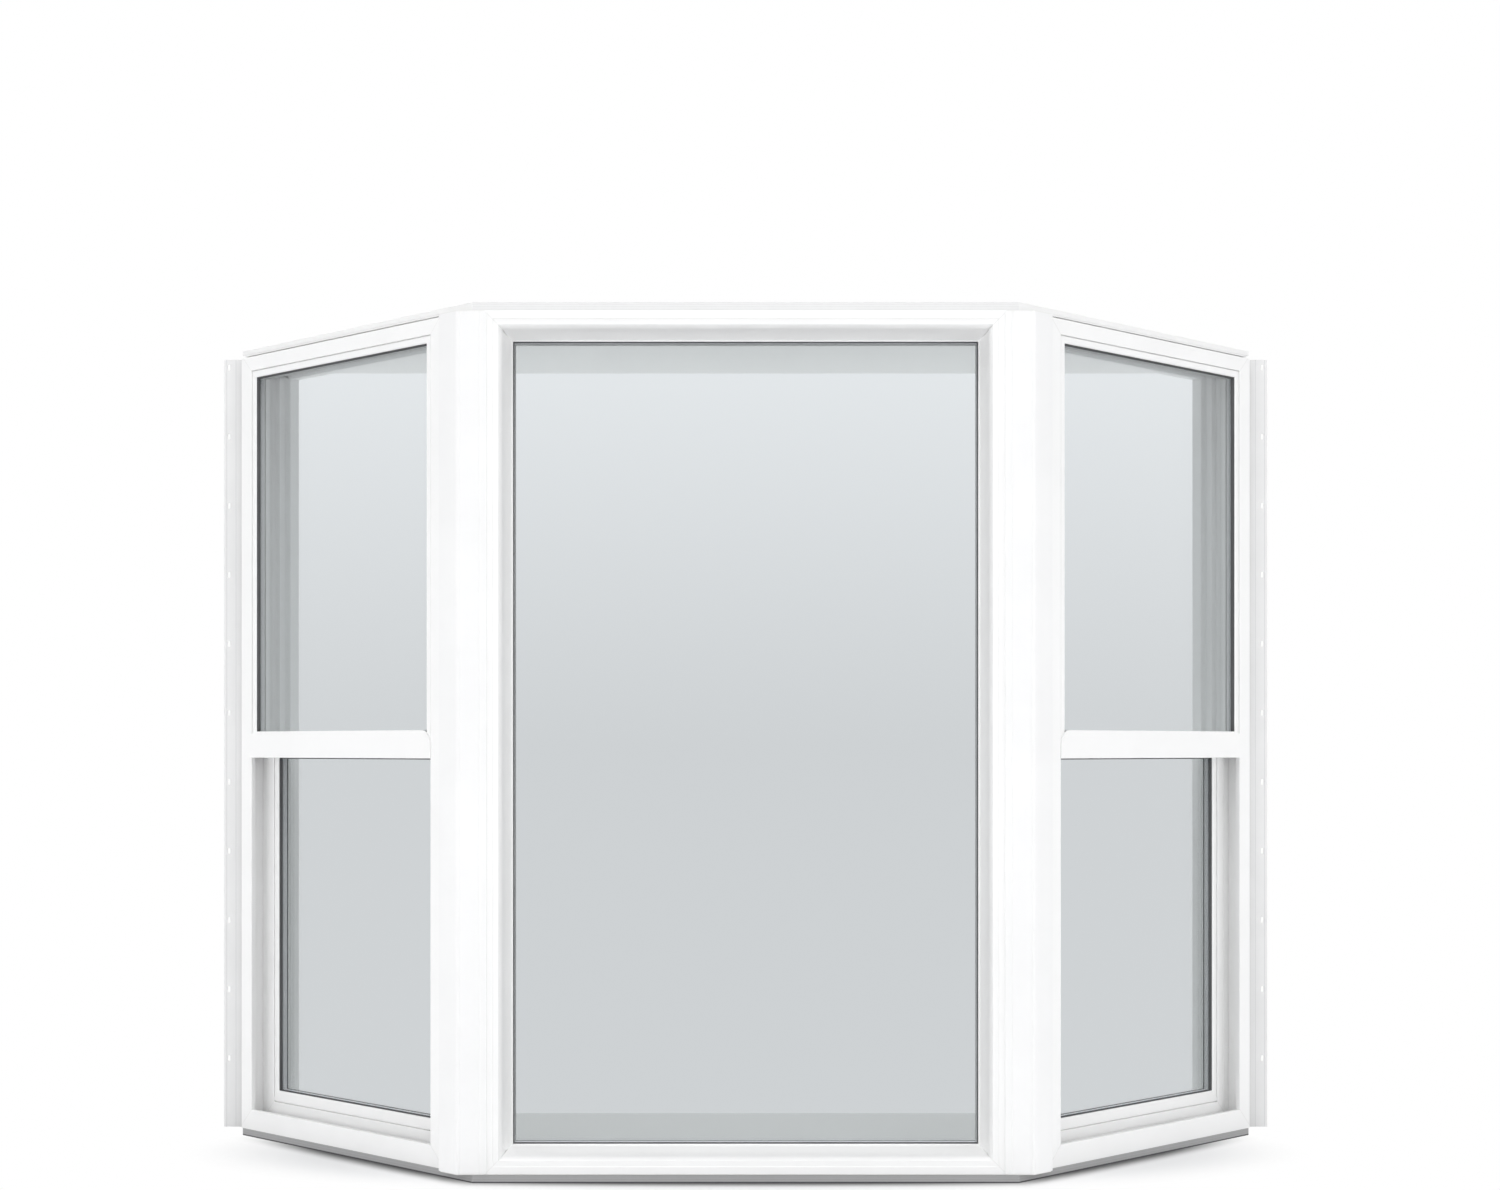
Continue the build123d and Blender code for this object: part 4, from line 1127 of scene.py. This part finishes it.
def fillet(shape, start, end, corner_y, corner_z, rise):
    """Hollow fillet along x in the corner between a frame's room side and a board."""
    toe = Vector((start, corner_y, corner_z - FILLET))
    heel = Vector((start, corner_y, corner_z))
    tip = Vector((start, corner_y + rise * FILLET, corner_z))
    corners = [shape.verts.new(spot) for spot in (toe, heel, tip)]
    section = shape.faces.new(corners)
    slope = next(edge for edge in section.edges if corners[1] not in edge.verts)
    cut = bmesh.ops.subdivide_edges(shape, edges=[slope], cuts=FILLET_CUTS)
    hollow = [item for item in cut["geom_inner"] if isinstance(item, bmesh.types.BMVert)]
    for vert in hollow:
        along = (vert.co - toe).length / (tip - toe).length
        dip = FILLET_DIP * 4 * along * (1 - along)
        vert.co += (heel - vert.co).normalized() * dip
    draw_out(shape, faces_at(hollow), (end - start, 0, 0))


trim_reach = extent("right_room_corner_trim", wing_plane)[1][0]
centre_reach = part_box("right_room_corner_trim")[0][0]
centre_half = -centre_low[0]
centre_joint = bmesh.new()
wing_joint = bmesh.new()
centre_ends = (centre_half - centre_reach, centre_half + centre_reach)
wing_ends = (trim_reach, wing_width - FILLET_END)
for corner_y, rise in ((0, 1), (frame_height, -1)):
    fillet(centre_joint, *centre_ends, corner_y, -frame_depth, rise)
    fillet(wing_joint, *wing_ends, corner_y, -frame_depth, rise)
settle(centre_joint, "centre_sealant", sealant, centre_plane)
settle_pair(wing_joint, "window_sealant", sealant, wing_plane)
print("wing fillets from and to", [round(end, 3) for end in wing_ends])

# %% [markdown]
# ## Packers under the head board
#
# Over each single-hung window the head board is rebated, and a strip of board packs the rebate
# out, so that only a thin shadow line is left above the frame. The shadow could be painted on, but
# a real gap takes the right shade from any side. The strip is drawn out from a flat rectangle, and
# its long edges are eased as a planed strip's are.

# %% Packers
REBATE_HEIGHT = 4.5 * MM
SHADOW_LINE = 2.2 * MM
PACKER_FACE = -2.4 * MM
PACKER_BACK = -13.0 * MM
PACKER_ENDS = 6.0 * MM
PACKER_EASE = 0.4 * MM

packer_height = REBATE_HEIGHT - SHADOW_LINE
packer_middle = (wing_width / 2, frame_height + REBATE_HEIGHT - packer_height / 2, PACKER_FACE)
packer = bmesh.new()
rectangle(packer, packer_middle, wing_width - 2 * PACKER_ENDS, packer_height)
draw_out(packer, packer.faces[:], (0, 0, PACKER_BACK - PACKER_FACE))
long_edges = [edge for edge in packer.edges if edge.calc_length() > wing_width / 2]
bmesh.ops.bevel(packer, geom=long_edges, affect="EDGES", offset=PACKER_EASE, segments=2, profile=0.5,
                material=-1)
print("packer faces:", len(packer.faces))
settle_pair(packer, "head_packer", head_paint, wing_plane)

# %% [markdown]
# ## Pile strips
#
# Behind each stile a strip of woven pile fills the gap between the sash and the shoulder of the
# jamb, and stops draughts without holding the sash. Thousands of hairs would show no better from
# outside. Its root is as wide as the slot in the jamb and its tips are squeezed together, so a
# flat strip is drawn up to the sash and its top is narrowed, and the finish gives it its fuzz.

# %% Pile
PILE_ROOT = 5.0 * MM
PILE_TIPS = 0.6
PILE_ROWS = 24
PILE_INSET = 14.5 * MM
PILE_SHORTER = 12.0 * MM
PILE_DEPTH = 2.5 * MM
STILE_BEHIND_PANE = 4.5 * MM

stile_back = extent("right_sash_inner_pane", wing_plane)[0][2] - STILE_BEHIND_PANE
shoulder = stile_back - PILE_DEPTH
pile_length = sash_high[1] - sash_low[1] - 2 * PILE_SHORTER
pile_middle = (sash_low[1] + sash_high[1]) / 2
strips = bmesh.new()
for across in (PILE_INSET, wing_width - PILE_INSET):
    points = rectangle(strips, (across, pile_middle, shoulder), PILE_ROOT, pile_length, rows=PILE_ROWS)
    tips = draw_out(strips, faces_at(points), (0, 0, PILE_DEPTH))
    bmesh.ops.scale(strips, vec=(PILE_TIPS, 1, 1), space=Matrix.Translation((-across, 0, 0)), verts=tips)
settle_pair(strips, "pile_strips", pile, wing_plane)
print("pile between", round(stile_back, 4), "and", round(shoulder, 4))

# %% [markdown]
# ## Screws
#
# A zinc-plated screw holds the free end of each sash lock, and two hold its keeper. A screw head
# could be one bevelled disc, but the driver recess is what makes it read as a screw. So it is a
# flat cone, bevelled round its rim, with a recess pressed into the middle of its crown.

# %% Screws
HEAD_RADIUS = 3.0 * MM
HEAD_RISE = 1.1 * MM
HEAD_SIDES = 24
CROWN_RADIUS = 0.72 * HEAD_RADIUS
RIM_EASE = 0.25 * MM
RECESS_RADIUS = 1.1 * MM
RECESS_DEPTH = 0.6 * HEAD_RISE


def screw_head(whole, place):
    """Add a screw head, made on the plane z = 0 and facing up, and carried to its place by a matrix."""
    head = bmesh.new()
    bmesh.ops.create_cone(head, cap_ends=True, cap_tris=False, segments=HEAD_SIDES,
                          radius1=HEAD_RADIUS, radius2=CROWN_RADIUS, depth=HEAD_RISE)
    bmesh.ops.translate(head, vec=(0, 0, HEAD_RISE / 2), verts=head.verts[:])
    crown = max(head.faces, key=lambda face: face.calc_center_median().z)
    rim = list(crown.edges)
    bmesh.ops.inset_region(head, faces=[crown], thickness=CROWN_RADIUS - RECESS_RADIUS,
                           use_boundary=True, use_even_offset=True)
    draw_out(head, [crown], (0, 0, -RECESS_DEPTH))
    bmesh.ops.delete(head, geom=[crown], context="FACES_ONLY")
    bmesh.ops.bevel(head, geom=rim, offset=RIM_EASE, segments=2, profile=0.5, affect="EDGES", material=-1)
    bmesh.ops.transform(head, matrix=place, verts=head.verts[:])
    add_shape(whole, head)


print("recess of", round(RECESS_DEPTH * 1000, 2), "mm in a head of", round(HEAD_RISE * 1000, 2), "mm")

# %% [markdown]
# The lock's screw stands upright on the lock's base, and the keeper's two face the room.

# %% Screws in the lock and its keeper
LOCK_SCREW_INSET = 8.0 * MM
LOCK_SCREW_BACK = 8.0 * MM
LOCK_BASE_RISE = 4.0 * MM
KEEPER_SCREW_STEP = 11.0 * MM
KEEPER_SCREW_RISE = 5.5 * MM
KEEPER_DEPTH = 4.0 * MM

lock_low, lock_high = extent("right_sash_lock", wing_plane)
lock_spot = (lock_low[0] + LOCK_SCREW_INSET, sash_high[1] + LOCK_BASE_RISE, lock_low[2] + LOCK_SCREW_BACK)
upright = Matrix.Rotation(-pi / 2, 4, "X")
to_room = Matrix.Rotation(pi, 4, "X")
screws = bmesh.new()
screw_head(screws, Matrix.Translation(lock_spot) @ upright)
for step in (-KEEPER_SCREW_STEP, KEEPER_SCREW_STEP):
    keeper_spot = (wing_width / 2 + step, sash_high[1] + KEEPER_SCREW_RISE, lock_high[2] - KEEPER_DEPTH)
    screw_head(screws, Matrix.Translation(keeper_spot) @ to_room)
print("screw faces:", len(screws.faces))
settle_pair(screws, "lock_screws", zinc, wing_plane)

# %% [markdown]
# ## Thumb ribs
#
# The two tilt latches of a sash are pulled inwards by the thumb, and each has three low ribs for
# it. They could be bump in the enamel, but they catch the light as real edges do, so each rib is a
# small block with all its edges rounded.

# %% Thumb ribs
RIB_SIZE = (0.9 * MM, 0.5 * MM, 5.0 * MM)
RIB_STEP = 2.4 * MM
RIB_EASE = 0.2 * MM
BUTTON_MIDDLE = 42.0 * MM

latch_low, latch_high = extent("right_tilt_latches", wing_plane)
latch_middle = (latch_low[2] + latch_high[2]) / 2
ribs = bmesh.new()
for button in (sash_low[0] + BUTTON_MIDDLE, sash_high[0] - BUTTON_MIDDLE):
    for index in (-1, 0, 1):
        block = bmesh.ops.create_cube(ribs, size=1.0)["verts"]
        bmesh.ops.scale(ribs, vec=RIB_SIZE, verts=block)
        rib_spot = (button + index * RIB_STEP, latch_high[1] + RIB_SIZE[1] / 2, latch_middle)
        bmesh.ops.translate(ribs, vec=rib_spot, verts=block)
        edges = list(dict.fromkeys(edge for vert in block for edge in vert.link_edges))
        bmesh.ops.bevel(ribs, geom=edges, offset=RIB_EASE, segments=2, profile=0.5, affect="EDGES",
                        material=-1)
print("rib faces:", len(ribs.faces))
settle_pair(ribs, "latch_ribs", enamel, wing_plane)
